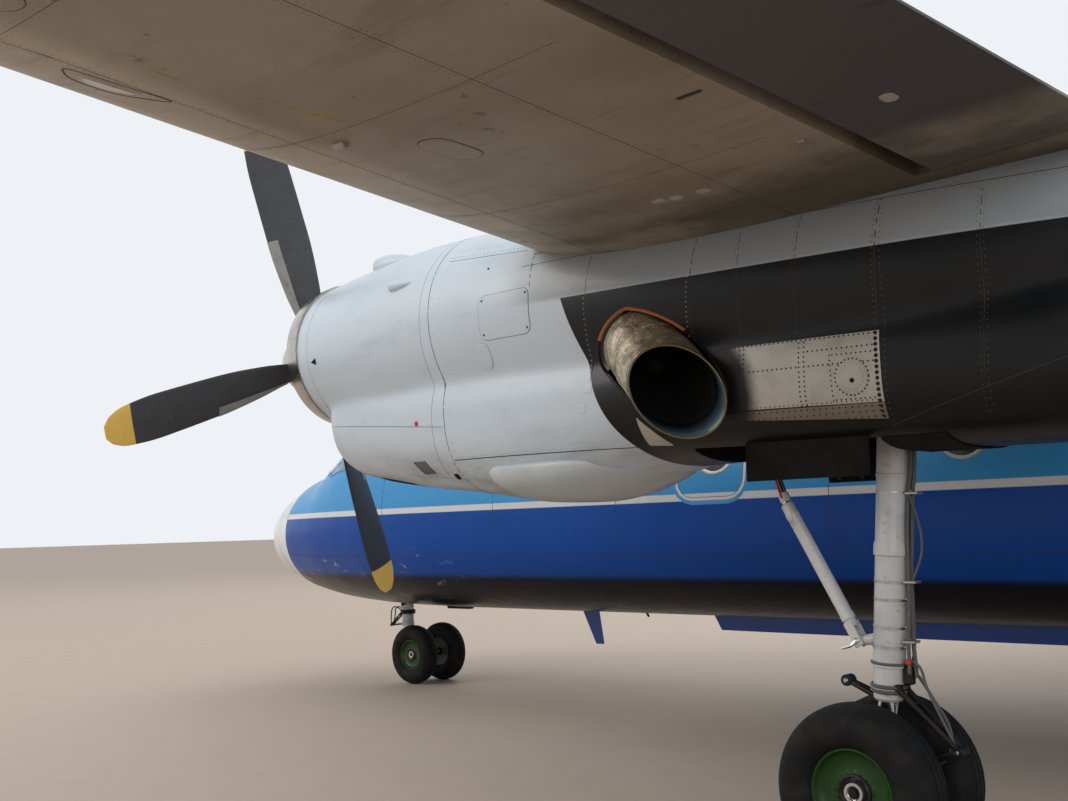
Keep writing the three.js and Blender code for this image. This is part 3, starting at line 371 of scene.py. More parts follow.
def simple_paint(name, tone, rough=0.4, worn=(0.1, 0.1, 0.1), amount=0.3, scale=14.0, coat=0.0, shine=0.4):
    """Painted part with worn patches and grime."""
    paint = Paint(name, coat=coat, shine=shine)
    wear = paint.step(paint.noise(scale, 7.0, 0.7), 0.56, 0.68)
    grime = paint.step(paint.noise(scale * 0.3, 5.0, 0.6), 0.45, 0.75)
    base = paint.layer(tone, grime, amount * 0.6, GRIME)
    paint.colour(paint.layer(base, wear, amount, worn))
    paint.rough(paint.noise(scale * 0.6, 4.0), max(rough - 0.12, 0.05), rough + 0.15)
    paint.bump((paint.noise(scale * 5, 4.0, 0.6), 0.0008))
    return paint.material


TIP_START = 1.74


def blade_paint():
    paint = Paint("blade_paint")
    across = paint.minus(paint.math("ABSOLUTE", paint.x), HUB.x)
    up = paint.minus(paint.z, HUB.z)
    reach = paint.math("SQRT", paint.plus(paint.times(across, across), paint.times(up, up)))
    tip = paint.step(reach, TIP_START - 0.004, TIP_START + 0.004)
    chips = paint.step(paint.noise(30.0, 6.0, 0.7), 0.6, 0.66)
    grey = paint.mix(paint.noise(8.0, 5.0), (0.042, 0.044, 0.050), (0.07, 0.072, 0.08))
    yellow = paint.mix(paint.noise(12.0, 5.0), (1.0, 0.68, 0.16), (0.85, 0.52, 0.10))
    colour = paint.mix(tip, grey, yellow)
    paint.colour(paint.layer(colour, chips, 0.35, (0.2, 0.19, 0.18)))
    paint.rough(paint.noise(16.0, 5.0), 0.4, 0.62)
    paint.bump((paint.noise(90.0, 4.0, 0.6), 0.0006))
    return paint.material


# The exhaust runs outwards, aft and down, its rim cut at a slant. Lengths are back from the outlet.
EXHAUST_OUTLET = Vector((4.727, at(10.024), 2.468))
EXHAUST_ALONG = Vector((0.461, 0.71, -0.533)).normalized()
EXHAUST_FACE = Vector((0.889, 0.418, -0.184)).normalized()
EXHAUST_RADIUS = 0.222
EXHAUST_WALL = 0.006
EXHAUST_ROOM = 0.025
EXHAUST_LENGTH = 0.62
EXHAUST_REACH = 0.8


def exhaust_steel():
    """Heat-stained steel: tan and grey clouds with pale scribbles."""
    paint = Paint("exhaust_steel", metal=0.7)
    clouds = paint.mix(paint.step(paint.noise(7.0, 7.0, 0.7), 0.38, 0.62), (0.62, 0.53, 0.37),
                       (0.25, 0.20, 0.13))
    crinkle = paint.math("ABSOLUTE", paint.minus(paint.noise(11.0, 5.0, 0.62), 0.5))
    lines = paint.inverse(paint.step(crinkle, 0.004, 0.022))
    clouds = paint.layer(clouds, lines, 0.75, (0.95, 0.90, 0.78))
    soot = paint.step(paint.noise(4.0, 5.0, 0.6, (1, 0.5, 1)), 0.54, 0.72)
    paint.colour(paint.layer(clouds, soot, 0.7, (0.06, 0.05, 0.035)))
    paint.rough(paint.noise(22.0, 5.0), 0.26, 0.5)
    paint.bump((paint.noise(12.0, 6.0, 0.7), 0.006), (paint.noise(120.0, 4.0, 0.6), 0.0008))
    return paint.material


def heat_tint():
    """The pipe's inner wall: tan at the rim, then blue, then near black deeper in (soot and painted shade),
    by the depth behind the rim's plane.
    """
    paint = Paint("heat_tint", metal=0.5)
    aside = paint.minus(paint.math("ABSOLUTE", paint.x), EXHAUST_OUTLET.x)
    aft = paint.minus(paint.y, EXHAUST_OUTLET.y)
    up = paint.minus(paint.z, EXHAUST_OUTLET.z)
    depth = 0.0
    for value, part in ((aside, EXHAUST_FACE.x), (aft, EXHAUST_FACE.y), (up, EXHAUST_FACE.z)):
        depth = paint.minus(depth, paint.times(value, part))
    depth = paint.plus(depth, paint.times(paint.noise(9.0, 4.0), 0.03))
    colour = paint.mix(paint.step(depth, 0.002, 0.012), (0.20, 0.13, 0.05), (0.10, 0.19, 0.19))
    colour = paint.mix(paint.step(depth, 0.035, 0.07), colour, (0.035, 0.075, 0.13))
    # Near black deeper in: soot, and painted shade inside the pipe
    paint.colour(paint.mix(paint.step(depth, 0.06, 0.12), colour, (0.004, 0.004, 0.004)))
    paint.rough(paint.noise(18.0, 5.0), 0.3, 0.6)
    paint.bump((paint.noise(40.0, 5.0, 0.6), 0.001))
    return paint.material


def soot_black():
    paint = Paint("soot", rough=0.9, shine=0.2)
    heat = paint.step(paint.noise(3.0, 5.0, 0.6), 0.45, 0.7)
    paint.colour(paint.layer((0.004, 0.004, 0.004), heat, 0.6, (0.014, 0.013, 0.011)))
    paint.bump((paint.noise(50.0, 4.0, 0.6), 0.002))
    return paint.material


def rubber():
    paint = Paint("rubber", rough=0.8, shine=0.2)
    dust = paint.step(paint.noise(9.0, 6.0, 0.65), 0.4, 0.75)
    paint.colour(paint.layer((0.006, 0.006, 0.0065), dust, 0.5, (0.026, 0.023, 0.02)))
    paint.rough(paint.noise(20.0, 5.0), 0.6, 0.9)
    paint.bump((paint.noise(45.0, 5.0, 0.65), 0.0015), (paint.noise(300.0, 2.0), 0.0004))
    return paint.material


# Middle and reach of the black round the exhaust outlet: soot, and a painted shadow of the pipe on the sheet
SOOT_AND_SHADOW_CENTRE = (10.05, 2.46)
SOOT_AND_SHADOW_REACH = 0.325


def sooty_shadowed_sheet(name, tone, rough):
    """Bare sheet behind the exhaust, blackened round the outlet by soot and by a painted shadow of the pipe.
    """
    paint = Paint(name, metal=0.35)
    stains = paint.step(paint.noise(6.0, 6.0, 0.65), 0.4, 0.75)
    colour = paint.layer(tone, stains, 0.5, tuple(value * 0.6 for value in tone))
    along = paint.minus(paint.y, at(SOOT_AND_SHADOW_CENTRE[0]))
    above = paint.minus(paint.z, SOOT_AND_SHADOW_CENTRE[1])
    away = paint.math("SQRT", paint.plus(paint.times(along, along), paint.times(above, above)))
    away = paint.plus(away, paint.times(paint.noise(9.0, 5.0, 0.6), 0.04))
    clear_of_soot_and_shadow = paint.step(away, SOOT_AND_SHADOW_REACH - 0.03, SOOT_AND_SHADOW_REACH + 0.07)
    paint.colour(paint.mix(clear_of_soot_and_shadow, (0.006, 0.006, 0.006), colour))
    paint.rough(paint.noise(14.0, 4.0, 0.6), rough - 0.12, rough + 0.12)
    return paint.material


def tinted_glass(name, tone, rough=0.06):
    paint = Paint(name, rough=rough, coat=1.0)
    smear = paint.step(paint.noise(5.0, 5.0, 0.6), 0.4, 0.8)
    paint.colour(paint.mix(smear, tone, tuple(value * 1.8 + 0.01 for value in tone)))
    paint.rough(paint.noise(9.0, 4.0), rough * 0.6, rough * 2.2)
    paint.bump((paint.noise(3.0, 2.0), 0.0008))
    return paint.material


def clear_glass(name):
    paint = Paint(name, rough=0.05, coat=1.0)
    paint.shader.inputs["Transmission Weight"].default_value = 0.85
    smear = paint.step(paint.noise(6.0, 5.0, 0.6), 0.4, 0.8)
    paint.colour(paint.mix(smear, (0.20, 0.22, 0.23), (0.27, 0.28, 0.28)))
    paint.rough(paint.noise(9.0, 4.0), 0.02, 0.12)
    paint.bump((paint.noise(3.0, 2.0), 0.0006))
    return paint.material


def cloth(name, tone):
    paint = Paint(name, rough=0.9)
    folds = paint.node("ShaderNodeTexWave", Vector=paint.stretched(0, 1, 0), Scale=9.0, Distortion=1.5)
    # The wave that raises the folds also darkens the cloth in stripes: painted shading of the folds
    paint.colour(paint.mix(folds.outputs["Fac"], tone, tuple(value * 0.55 for value in tone)))
    paint.bump((folds.outputs["Fac"], 0.006))
    return paint.material


MAT = {
    "body": body_paint(),
    "cowl": nacelle_paint("cowl_paint", False),
    "nacelle": nacelle_paint("nacelle_paint", True),
    "wing": wing_paint("wing_paint"),
    "flap": wing_paint("flap_paint", True),
    "seam": simple_paint("seam", (0.035, 0.032, 0.028), 0.7, (0.09, 0.08, 0.07), 0.5),
    "stud": simple_paint("dark_stud", (0.02, 0.018, 0.016), 0.6, (0.05, 0.045, 0.04), 0.4, 30.0, 0.0, 0.15),
    "rivet": simple_paint("rivet", (0.085, 0.08, 0.072), 0.5, (0.03, 0.028, 0.025), 0.6, 30.0),
    "bare": plain_metal("bare_metal", (0.40, 0.385, 0.35), 0.42, 0.14, 18.0, 0.55),
    "polished": plain_metal("polished_metal", (0.56, 0.54, 0.50), 0.24, 0.08, 9.0),
    "steel": plain_metal("steel", (0.45, 0.45, 0.45), 0.35),
    "chrome": plain_metal("chrome", (0.75, 0.75, 0.76), 0.12, 0.06),
    "blade": blade_paint(),
    "boot": simple_paint("deicer_boot", (0.33, 0.33, 0.32), 0.6, (0.12, 0.12, 0.12), 0.4),
    "exhaust": exhaust_steel(),
    "soot": soot_black(),
    "rim": simple_paint("hot_rim", (0.40, 0.13, 0.035), 0.6, (0.05, 0.025, 0.015), 0.6, 20.0),
    "tint": heat_tint(),
    "leg": simple_paint("leg_paint", (0.50, 0.50, 0.49), 0.35, (0.2, 0.18, 0.15), 0.5, 12.0, 0.2),
    "dark": simple_paint("dark_parts", (0.006, 0.006, 0.006), 0.45, (0.05, 0.045, 0.04), 0.3, 18.0,
                         shine=0.25),
    "hose": simple_paint("hose", (0.09, 0.09, 0.085), 0.55, (0.25, 0.24, 0.22), 0.4, 24.0),
    "rubber": rubber(),
    "wheel": simple_paint("wheel_green", (0.008, 0.04, 0.004), 0.4, (0.008, 0.012, 0.006), 0.5, 16.0, 0.05,
                          0.3),
    "glass": tinted_glass("window_glass", (0.02, 0.025, 0.03)),
    "clear": clear_glass("cabin_glass"),
    "curtain": cloth("curtain", (0.38, 0.36, 0.33)),
    "bright": simple_paint("bright_rivet", (0.40, 0.39, 0.36), 0.35, (0.1, 0.1, 0.09), 0.5, 30.0),
    "bulge": simple_paint("bulge_paint", (0.49, 0.535, 0.55), 0.32, (0.24, 0.215, 0.17), 0.5, 5.0, 0.2),
    "bare_sheet": sooty_shadowed_sheet("bare_sheet", (0.44, 0.42, 0.375), 0.45),
    "bare_strip": sooty_shadowed_sheet("bare_strip", (0.19, 0.16, 0.12), 0.5),
    "patch": simple_paint("wing_patch", (0.42, 0.40, 0.36), 0.5, (0.15, 0.13, 0.1), 0.5, 20.0),
    "scuff": simple_paint("yellow_scuff", (0.42, 0.29, 0.07), 0.6, (0.2, 0.17, 0.1), 0.6, 40.0),
    "hot_lip": plain_metal("hot_lip", (0.17, 0.13, 0.06), 0.4, 0.12, 20.0, 0.6),
    "white": simple_paint("white_paint", WHITE, 0.35, (0.3, 0.28, 0.25), 0.3, 9.0, 0.2),
    "radome": simple_paint("radome_paint", (0.70, 0.71, 0.70), 0.4, (0.28, 0.27, 0.25), 0.35, 5.0, 0.1),
    "sky": simple_paint("sky_paint", SKY_BLUE, 0.3, (0.05, 0.12, 0.2), 0.2, 5.0, 0.3),
    "royal": simple_paint("royal_paint", ROYAL_BLUE, 0.3, (0.02, 0.05, 0.12), 0.2, 5.0, 0.3),
    "red": simple_paint("red_paint", (0.45, 0.02, 0.015), 0.35, (0.2, 0.02, 0.02), 0.3, 12.0, 0.3),
    "lamp": tinted_glass("lamp_glass", (0.35, 0.35, 0.33), 0.05),
    "green_lamp": tinted_glass("green_lamp", (0.01, 0.16, 0.06), 0.05),
    "red_lamp": tinted_glass("red_lamp", (0.3, 0.012, 0.008), 0.05),
}


# Mesh building

class Shape:
    """Points and faces gathered before they become one mesh. A face remembers its paint's number."""

    def __init__(self):
        self.points = []
        self.faces = []
        self.paints = []

    def add(self, points, faces, paint=0):
        start = len(self.points)
        self.points.extend(tuple(float(value) for value in point) for point in points)
        self.faces.extend(tuple(start + i for i in face) for face in faces)
        self.paints.extend([paint] * len(faces))
        return self

    def grid(self, points, paint=0, wrap=False, caps=False):
        """Rows x columns of points; wrap closes each row into a ring, caps fills the end rings."""
        points = np.asarray(points, float)
        rows, columns = points.shape[:2]
        index = np.arange(rows * columns).reshape(rows, columns)
        if wrap:
            index = np.concatenate([index, index[:, :1]], 1)
        quads = np.stack([index[:-1, :-1], index[:-1, 1:], index[1:, 1:], index[1:, :-1]], -1)
        faces = quads.reshape(-1, 4).tolist()
        if caps:
            faces += [index[0, :columns][::-1].tolist(), index[-1, :columns].tolist()]
        return self.add(points.reshape(-1, 3), faces, paint)

    def join(self, other):
        start = len(self.points)
        self.points.extend(other.points)
        self.faces.extend(tuple(start + i for i in face) for face in other.faces)
        self.paints.extend(other.paints)
        return self

    def mirrored(self):
        other = Shape()
        other.points = [(-x, y, z) for x, y, z in self.points]
        other.faces = [face[::-1] for face in self.faces]
        other.paints = list(self.paints)
        return other

    def moved(self, matrix):
        self.points = [tuple(matrix @ Vector(point)) for point in self.points]
        return self


SHARP_ANGLE = math.radians(35)


def piece(name, shape, paints, body="airframe", nodes=()):
    mesh = bpy.data.meshes.new(name)
    mesh.from_pydata(shape.points, [], shape.faces)
    for paint in paints:
        mesh.materials.append(MAT[paint])
    mesh.polygons.foreach_set("material_index", shape.paints)
    work = bmesh.new()
    work.from_mesh(mesh)
    bmesh.ops.remove_doubles(work, verts=work.verts, dist=1e-5)
    bmesh.ops.dissolve_degenerate(work, edges=work.edges, dist=1e-6)
    bmesh.ops.recalc_face_normals(work, faces=work.faces)
    work.to_mesh(mesh)
    work.free()
    mesh.shade_smooth()
    mesh.set_sharp_from_angle(angle=SHARP_ANGLE)
    made = bpy.data.objects.new(name, mesh)
    bpy.context.scene.collection.objects.link(made)
    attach(made, body)
    if nodes:
        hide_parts(*nodes)
    return made


def pair(name, shape, paints, body="airframe", nodes=()):
    """The same piece on both sides; {} in a body's or node's name stands for the side."""
    for side, one in (("left", shape), ("right", shape.mirrored())):
        piece(f"{name}_{side}", one, paints, body.format(side), [n.format(side) for n in nodes])


def frame_of(axis):
    """Three unit vectors: along the axis and two across it."""
    along = Vector(axis).normalized()
    side = along.cross(Vector((0, 0, 1)))
    if side.length < 1e-3:
        side = Vector((1, 0, 0))
    side.normalize()
    return along, side, along.cross(side)


def turned(shape, start, axis, profile, sides=32, paint=0, closed=False):
    """A turned form about a line. The profile's points are (distance along the line, radius)."""
    along, side, up = (np.array(v) for v in frame_of(axis))
    angles = np.linspace(0, 2 * math.pi, sides, endpoint=False)
    ring = np.cos(angles)[:, None] * side + np.sin(angles)[:, None] * up
    if closed:
        profile = [*profile, profile[0]]
    rows = [np.array(start) + distance * along + radius * ring for distance, radius in profile]
    return shape.grid(np.array(rows), paint, wrap=True)


def rod(shape, start, end, radius, paint=0, sides=20, end_radius=None, edge=0.004):
    """A round bar with small chamfers at its ends."""
    end_radius = radius if end_radius is None else end_radius
    length = (Vector(end) - Vector(start)).length
    edge = min(edge, radius * 0.4, length * 0.3)
    profile = [
        (0, 0), (0, radius - edge), (edge, radius), (length - edge, end_radius),
        (length, end_radius - edge), (length, 0),
    ]
    return turned(shape, start, Vector(end) - Vector(start), profile, sides, paint)


def smooth_path(points, count):
    """Evenly spaced parameter values on a smooth curve through the points."""
    points = np.array(points, float)
    padded = np.concatenate([2 * points[:1] - points[1:2], points, 2 * points[-1:] - points[-2:-1]])
    values = np.linspace(0, len(points) - 1, count)
    low = np.minimum(values.astype(int), len(points) - 2)
    t = (values - low)[:, None]
    a, b, c, d = padded[low], padded[low + 1], padded[low + 2], padded[low + 3]
    return 0.5 * (2 * b + (c - a) * t + (2 * a - 5 * b + 4 * c - d) * t ** 2
                  + (3 * b - a - 3 * c + d) * t ** 3)


def tube(shape, points, radius, paint=0, sides=8, count=24):
    """A round hose or pipe along a smooth curve."""
    path = smooth_path(points, count)
    tangents = np.gradient(path, axis=0)
    angles = np.linspace(0, 2 * math.pi, sides, endpoint=False)
    rows = []
    side = None
    for place, tangent in zip(path, tangents):
        along = Vector(tangent).normalized()
        side = frame_of(along)[1] if side is None else (side - along * side.dot(along)).normalized()
        up = along.cross(side)
        rows.append([Vector(place) + radius * (math.cos(a) * side + math.sin(a) * up) for a in angles])
    return shape.grid(np.array(rows), paint, wrap=True, caps=True)


def block(shape, centre, size, paint=0, edge=0.004, turn=None):
    """A bar or plate with chamfered edges, turned by a matrix."""
    half = [value / 2 for value in size]
    edge = min(edge, min(half) * 0.6)
    corners = []
    for signs in np.ndindex(2, 2, 2):
        sign = [2 * s - 1 for s in signs]
        for axis in range(3):
            corners.append(Vector([sign[i] * (half[i] - (0 if i == axis else edge)) for i in range(3)]))
    work = bmesh.new()
    for corner in corners:
        work.verts.new((turn @ corner if turn else corner) + Vector(centre))
    bmesh.ops.convex_hull(work, input=work.verts)
    bmesh.ops.dissolve_limit(work, angle_limit=0.02, verts=work.verts, edges=work.edges)
    work.verts.index_update()
    shape.add([v.co for v in work.verts], [[v.index for v in face.verts] for face in work.faces], paint)
    work.free()
    return shape


def extruded(shape, outline, axis, low, high, paint=0, edge=0.003):
    """A flat plate: outline points are the two other axes' values; its edges are chamfered."""
    outline = np.array(outline, float)
    centre = outline.mean(0)
    reach = np.linalg.norm(outline - centre, axis=1, keepdims=True)
    inner = centre + (outline - centre) * (1 - edge / np.maximum(reach, 1e-6))
    rows = []
    for ring, level in ((inner, low), (outline, low + edge), (outline, high - edge), (inner, high)):
        rows.append([np.insert(point, axis, level) for point in ring])
    return shape.grid(np.array(rows), paint, wrap=True, caps=True)


# Surfaces known as grids of points

class Skin:
    """A curved surface; a place on it has a row value and a column value."""

    def __init__(self, rows, columns, points):
        self.rows, self.columns, self.points = np.array(rows, float), np.array(columns, float), points
        along = np.gradient(points, self.rows, axis=0)
        around = np.gradient(points, self.columns, axis=1)
        normals = np.cross(around, along)
        normals /= np.maximum(np.linalg.norm(normals, axis=2, keepdims=True), 1e-9)
        middle = points.mean((0, 1))
        if np.sum(normals * (points - middle)) < 0:
            normals = -normals
        self.normals = normals
        self.row_rate = np.linalg.norm(along, axis=2)
        self.column_rate = np.linalg.norm(around, axis=2)

    def sample(self, field, rows, columns):
        rows = np.clip(np.asarray(rows, float), self.rows[0], self.rows[-1])
        columns = np.clip(np.asarray(columns, float), self.columns[0], self.columns[-1])
        i = np.clip(np.searchsorted(self.rows, rows) - 1, 0, len(self.rows) - 2)
        k = np.clip(np.searchsorted(self.columns, columns) - 1, 0, len(self.columns) - 2)
        s = (rows - self.rows[i]) / (self.rows[i + 1] - self.rows[i])
        t = (columns - self.columns[k]) / (self.columns[k + 1] - self.columns[k])
        if field.ndim == 3:
            s, t = s[..., None], t[..., None]
        low = field[i, k] * (1 - t) + field[i, k + 1] * t
        high = field[i + 1, k] * (1 - t) + field[i + 1, k + 1] * t
        return low * (1 - s) + high * s

    def at(self, rows, columns, lift=0.0):
        raised = np.asarray(lift)[..., None] * self.normal(rows, columns)
        return self.sample(self.points, rows, columns) + raised

    def normal(self, rows, columns):
        found = self.sample(self.normals, rows, columns)
        return found / np.linalg.norm(found, axis=-1, keepdims=True)

    def where(self, stations, others):
        """Row and column values of places given the way a drawing gives them."""
        return np.asarray(stations, float), np.asarray(others, float)

    def local(self, row, column, across, up, lift):
        """Points near one place: across and up are metres along rows and columns."""
        rate_row = self.sample(self.row_rate, row, column)
        rate_column = self.sample(self.column_rate, row, column)
        return self.at(row + across / rate_row, column + up / rate_column, lift)


def trace(skin, path, step, direct=False):
    """Points and normals at even steps along a path on a skin."""
    path = np.array(path, float)
    fine = [path[:1]]
    for a, b in zip(path[:-1], path[1:]):
        fine.append(a + (b - a) * np.linspace(0, 1, 41)[1:, None])
    fine = np.concatenate(fine)
    rows, columns = (fine[:, 0], fine[:, 1]) if direct else skin.where(fine[:, 0], fine[:, 1])
    points = skin.at(rows, columns)
    run = np.concatenate([[0], np.cumsum(np.linalg.norm(np.diff(points, axis=0), axis=1))])
    even = np.linspace(0, run[-1], max(2, int(round(run[-1] / step)) + 1))
    rows, columns = np.interp(even, run, rows), np.interp(even, run, columns)
    return skin.at(rows, columns), skin.normal(rows, columns)


def seam(shape, skin, path, width=0.004, lift=0.0008, paint=0, step=0.06, direct=False):
    """A narrow raised strip along a path: the sealed joint between two skin panels."""
    points, normals = trace(skin, path, step, direct)
    tangents = np.gradient(points, axis=0)
    tangents /= np.linalg.norm(tangents, axis=1, keepdims=True)
    across = np.cross(normals, tangents)
    rows = []
    for side, height in ((-0.5 * width - lift, -0.002), (-0.5 * width, lift), (0.5 * width, lift),
                         (0.5 * width + lift, -0.002)):
        rows.append(points + across * side + normals * height)
    return shape.grid(np.stack(rows, 1), paint, wrap=True, caps=True)


def studs(shape, skin, path, pitch=0.03, radius=0.004, height=0.0012, paint=0, direct=False, foot=-0.0004):
    """A row of low rivet heads."""
    points, normals = trace(skin, path, pitch, direct)
    count = 6
    helper = np.where(np.abs(normals[:, 2:3]) > 0.9, np.array([[1.0, 0, 0]]), np.array([[0, 0, 1.0]]))
    side = np.cross(normals, helper)
    side /= np.linalg.norm(side, axis=1, keepdims=True)
    up = np.cross(normals, side)
    rings = [points + normals * height]
    for k in range(count):
        angle = 2 * math.pi * k / count
        rings.append(points + radius * (math.cos(angle) * side + math.sin(angle) * up) + normals * foot)
    heads = np.stack(rings, 1).reshape(-1, 3)
    faces = []
    for n in range(len(points)):
        start = n * (count + 1)
        faces.extend((start, start + 1 + k, start + 1 + (k + 1) % count) for k in range(count))
    return shape.add(heads, faces, paint)


def rounded(low_a, high_a, low_b, high_b, radius, each=5, edge_points=6):
    """A rounded rectangle's outline."""
    corners = [
        (high_a - radius, high_b - radius, 0), (low_a + radius, high_b - radius, 90),
        (low_a + radius, low_b + radius, 180), (high_a - radius, low_b + radius, 270),
    ]
    points = []
    for a, b, start in corners:
        for k in range(each):
            angle = math.radians(start + 90 * k / (each - 1))
            points.append((a + radius * math.cos(angle), b + radius * math.sin(angle)))
    dense = []
    for p, q in zip(points, points[1:] + points[:1]):
        count = edge_points if math.dist(p, q) > radius else 1
        dense += [tuple(np.array(p) + (np.array(q) - np.array(p)) * k / count) for k in range(count)]
    return dense


def ring_on(skin, outline, lift):
    return skin.at(outline[:, 0], outline[:, 1], np.full(len(outline), lift))


def outline_on(skin, outline, direct):
    outline = np.array(outline, float)
    return outline if direct else np.stack(skin.where(outline[:, 0], outline[:, 1]), 1)


def grown(skin, outline, amount):
    """The outline moved outwards over the skin by an amount in metres."""
    centre = outline.mean(0)
    rate = np.array([skin.sample(skin.row_rate, *centre), skin.sample(skin.column_rate, *centre)]).reshape(2)
    metric = outline * rate
    run = np.roll(metric, -1, 0) - np.roll(metric, 1, 0)
    normal = np.stack([run[:, 1], -run[:, 0]], 1)
    normal /= np.maximum(np.linalg.norm(normal, axis=1, keepdims=True), 1e-9)
    after = np.roll(metric, -1, 0)
    area = np.sum(metric[:, 0] * after[:, 1] - after[:, 0] * metric[:, 1])
    return (metric + normal * amount * np.sign(area)) / rate


# How deep the edges of plates and rims go into the skin
SUNK = -0.004


def plate(shape, skin, outline, lift=0.002, paint=0, direct=False, rings=6):
    """A thin raised panel that follows the skin inside an outline."""
    outline = outline_on(skin, outline, direct)
    inner = grown(skin, outline, -0.0015)
    centre = inner.mean(0)
    rows = [ring_on(skin, outline, SUNK), ring_on(skin, outline, lift * 0.6), ring_on(skin, inner, lift)]
    for scale in np.linspace(1, 0, rings + 1)[1:]:
        rows.append(ring_on(skin, centre + (inner - centre) * scale, lift))
    return shape.grid(np.array(rows), paint, wrap=True)


def rim(shape, skin, outline, width=0.008, lift=0.0015, paint=0, direct=False):
    """A raised band round the outside of an outline."""
    outline = outline_on(skin, outline, direct)
    levels = ((0, SUNK), (0, lift), (width, lift), (width + lift, SUNK))
    rows = [ring_on(skin, grown(skin, outline, out), height) for out, height in levels]
    return shape.grid(np.array(rows), paint, wrap=True)


def soft_corners(corners, scale=(1.0, 1.0), radius=0.04, each=5, between=5):
    """A polygon with rounded corners; scale turns its two values into metres."""
    points = np.array(corners, float) * scale
    outline = []
    for before, corner, after in zip(np.roll(points, 1, 0), points, np.roll(points, -1, 0)):
        reach = [min(radius, np.linalg.norm(end - corner) * 0.4) for end in (before, after)]
        start = corner + (before - corner) / np.linalg.norm(before - corner) * reach[0]
        end = corner + (after - corner) / np.linalg.norm(after - corner) * reach[1]
        for t in np.linspace(0, 1, each):
            outline.append((1 - t) ** 2 * start + 2 * t * (1 - t) * corner + t ** 2 * end)
    dense = []
    for p, q in zip(outline, outline[1:] + outline[:1]):
        count = between if np.linalg.norm(q - p) > radius else 1
        dense += [p + (q - p) * k / count for k in range(count)]
    return np.array(dense) / scale


def disc_on(shape, skin, place, profile, sides=32, paint=0):
    """Rings round a place on the skin; the profile's points are (radius, lift)."""
    row, column = (float(value) for value in skin.where([place[0]], [place[1]]))
    angles = np.linspace(0, 2 * math.pi, sides, endpoint=False)
    rows = [skin.local(row, column, radius * np.cos(angles), radius * np.sin(angles), np.full(sides, lift))
            for radius, lift in profile]
    return shape.grid(np.array(rows), paint, wrap=True)


# Bodies: fuselage, fairing and nacelles

# columns: station, half width, top, bottom, height of the widest point, squareness below it
FUSELAGE = [
    [0, 0.060, 1.810, 1.690, 1.750, 2], [0.06, 0.235, 1.960, 1.530, 1.750, 2],
    [0.25, 0.460, 2.150, 1.360, 1.755, 2], [0.6, 0.690, 2.325, 1.210, 1.765, 2.05],
    [1.2, 0.950, 2.530, 1.060, 1.790, 2.1], [1.75, 1.110, 2.670, 0.985, 1.820, 2.2],
    [2.15, 1.205, 2.980, 0.955, 1.850, 2.3], [2.65, 1.300, 3.260, 0.932, 1.890, 2.4],
    [3.3, 1.390, 3.370, 0.922, 1.930, 2.55], [4.2, 1.445, 3.402, 0.920, 1.952, 2.7],
    [5, 1.450, 3.405, 0.919, 1.954, 2.7], [14.6, 1.450, 3.405, 0.919, 1.954, 2.7],
    [15.7, 1.430, 3.403, 0.975, 1.975, 2.6], [17, 1.330, 3.398, 1.165, 2.080, 2.45],
    [18.4, 1.140, 3.385, 1.475, 2.260, 2.3], [19.8, 0.900, 3.355, 1.860, 2.480, 2.15],
    [21.2, 0.640, 3.310, 2.290, 2.720, 2.05], [22.5, 0.375, 3.230, 2.680, 2.930, 2],
    [23.25, 0.180, 3.140, 2.880, 3.010, 2], [23.53, 0.060, 3.060, 2.970, 3.015, 2],
]
FAIRING = [
    [7.3, 0.350, 3.390, 3.000, 3.200, 2], [8.1, 0.900, 3.600, 2.850, 3.200, 2.6],
    [8.8, 1.230, 3.850, 2.700, 3.200, 3], [9.8, 1.330, 3.960, 2.650, 3.200, 3],
    [11.2, 1.300, 3.860, 2.650, 3.200, 3], [12.4, 1.120, 3.660, 2.750, 3.200, 3],
    [13.4, 0.800, 3.480, 2.900, 3.150, 2.6], [14.3, 0.350, 3.385, 3.000, 3.150, 2],
]
UPPER_LOBE = [
    [6.4, 0.555, 3.700, 2.600, 3.150, 2], [6.9, 0.615, 3.760, 2.540, 3.150, 2],
    [7.7, 0.670, 3.815, 2.480, 3.150, 2], [8.6, 0.680, 3.800, 2.450, 3.130, 2],
    [9.5, 0.680, 3.740, 2.400, 3.100, 2], [11, 0.650, 3.660, 2.300, 3.050, 2],
    [12.3, 0.500, 3.580, 2.450, 3.050, 2], [13.3, 0.270, 3.460, 2.800, 3.150, 2],
    [14, 0.050, 3.290, 3.170, 3.230, 2],
]
LOWER_LOBE = [
    [6.43, 0.300, 2.950, 2.310, 2.640, 2.2], [6.7, 0.420, 3.000, 2.190, 2.620, 2.3],
    [7.3, 0.520, 3.000, 2.090, 2.560, 2.4], [7.9, 0.580, 3.000, 2.020, 2.540, 2.5],
    [8.6, 0.610, 3.000, 1.945, 2.520, 2.5], [9.1, 0.615, 3.000, 1.975, 2.520, 2.3],
    [9.45, 0.615, 3.000, 2.080, 2.540, 2.3], [9.6, 0.615, 3.000, 2.115, 2.560, 2.5],
    [10.2, 0.615, 3.000, 2.125, 2.580, 3.0], [11.8, 0.570, 3.000, 2.115, 2.600, 3.4],
    [12.7, 0.370, 3.050, 2.420, 2.800, 2.6], [13.5, 0.160, 3.150, 2.830, 3.000, 2],
]


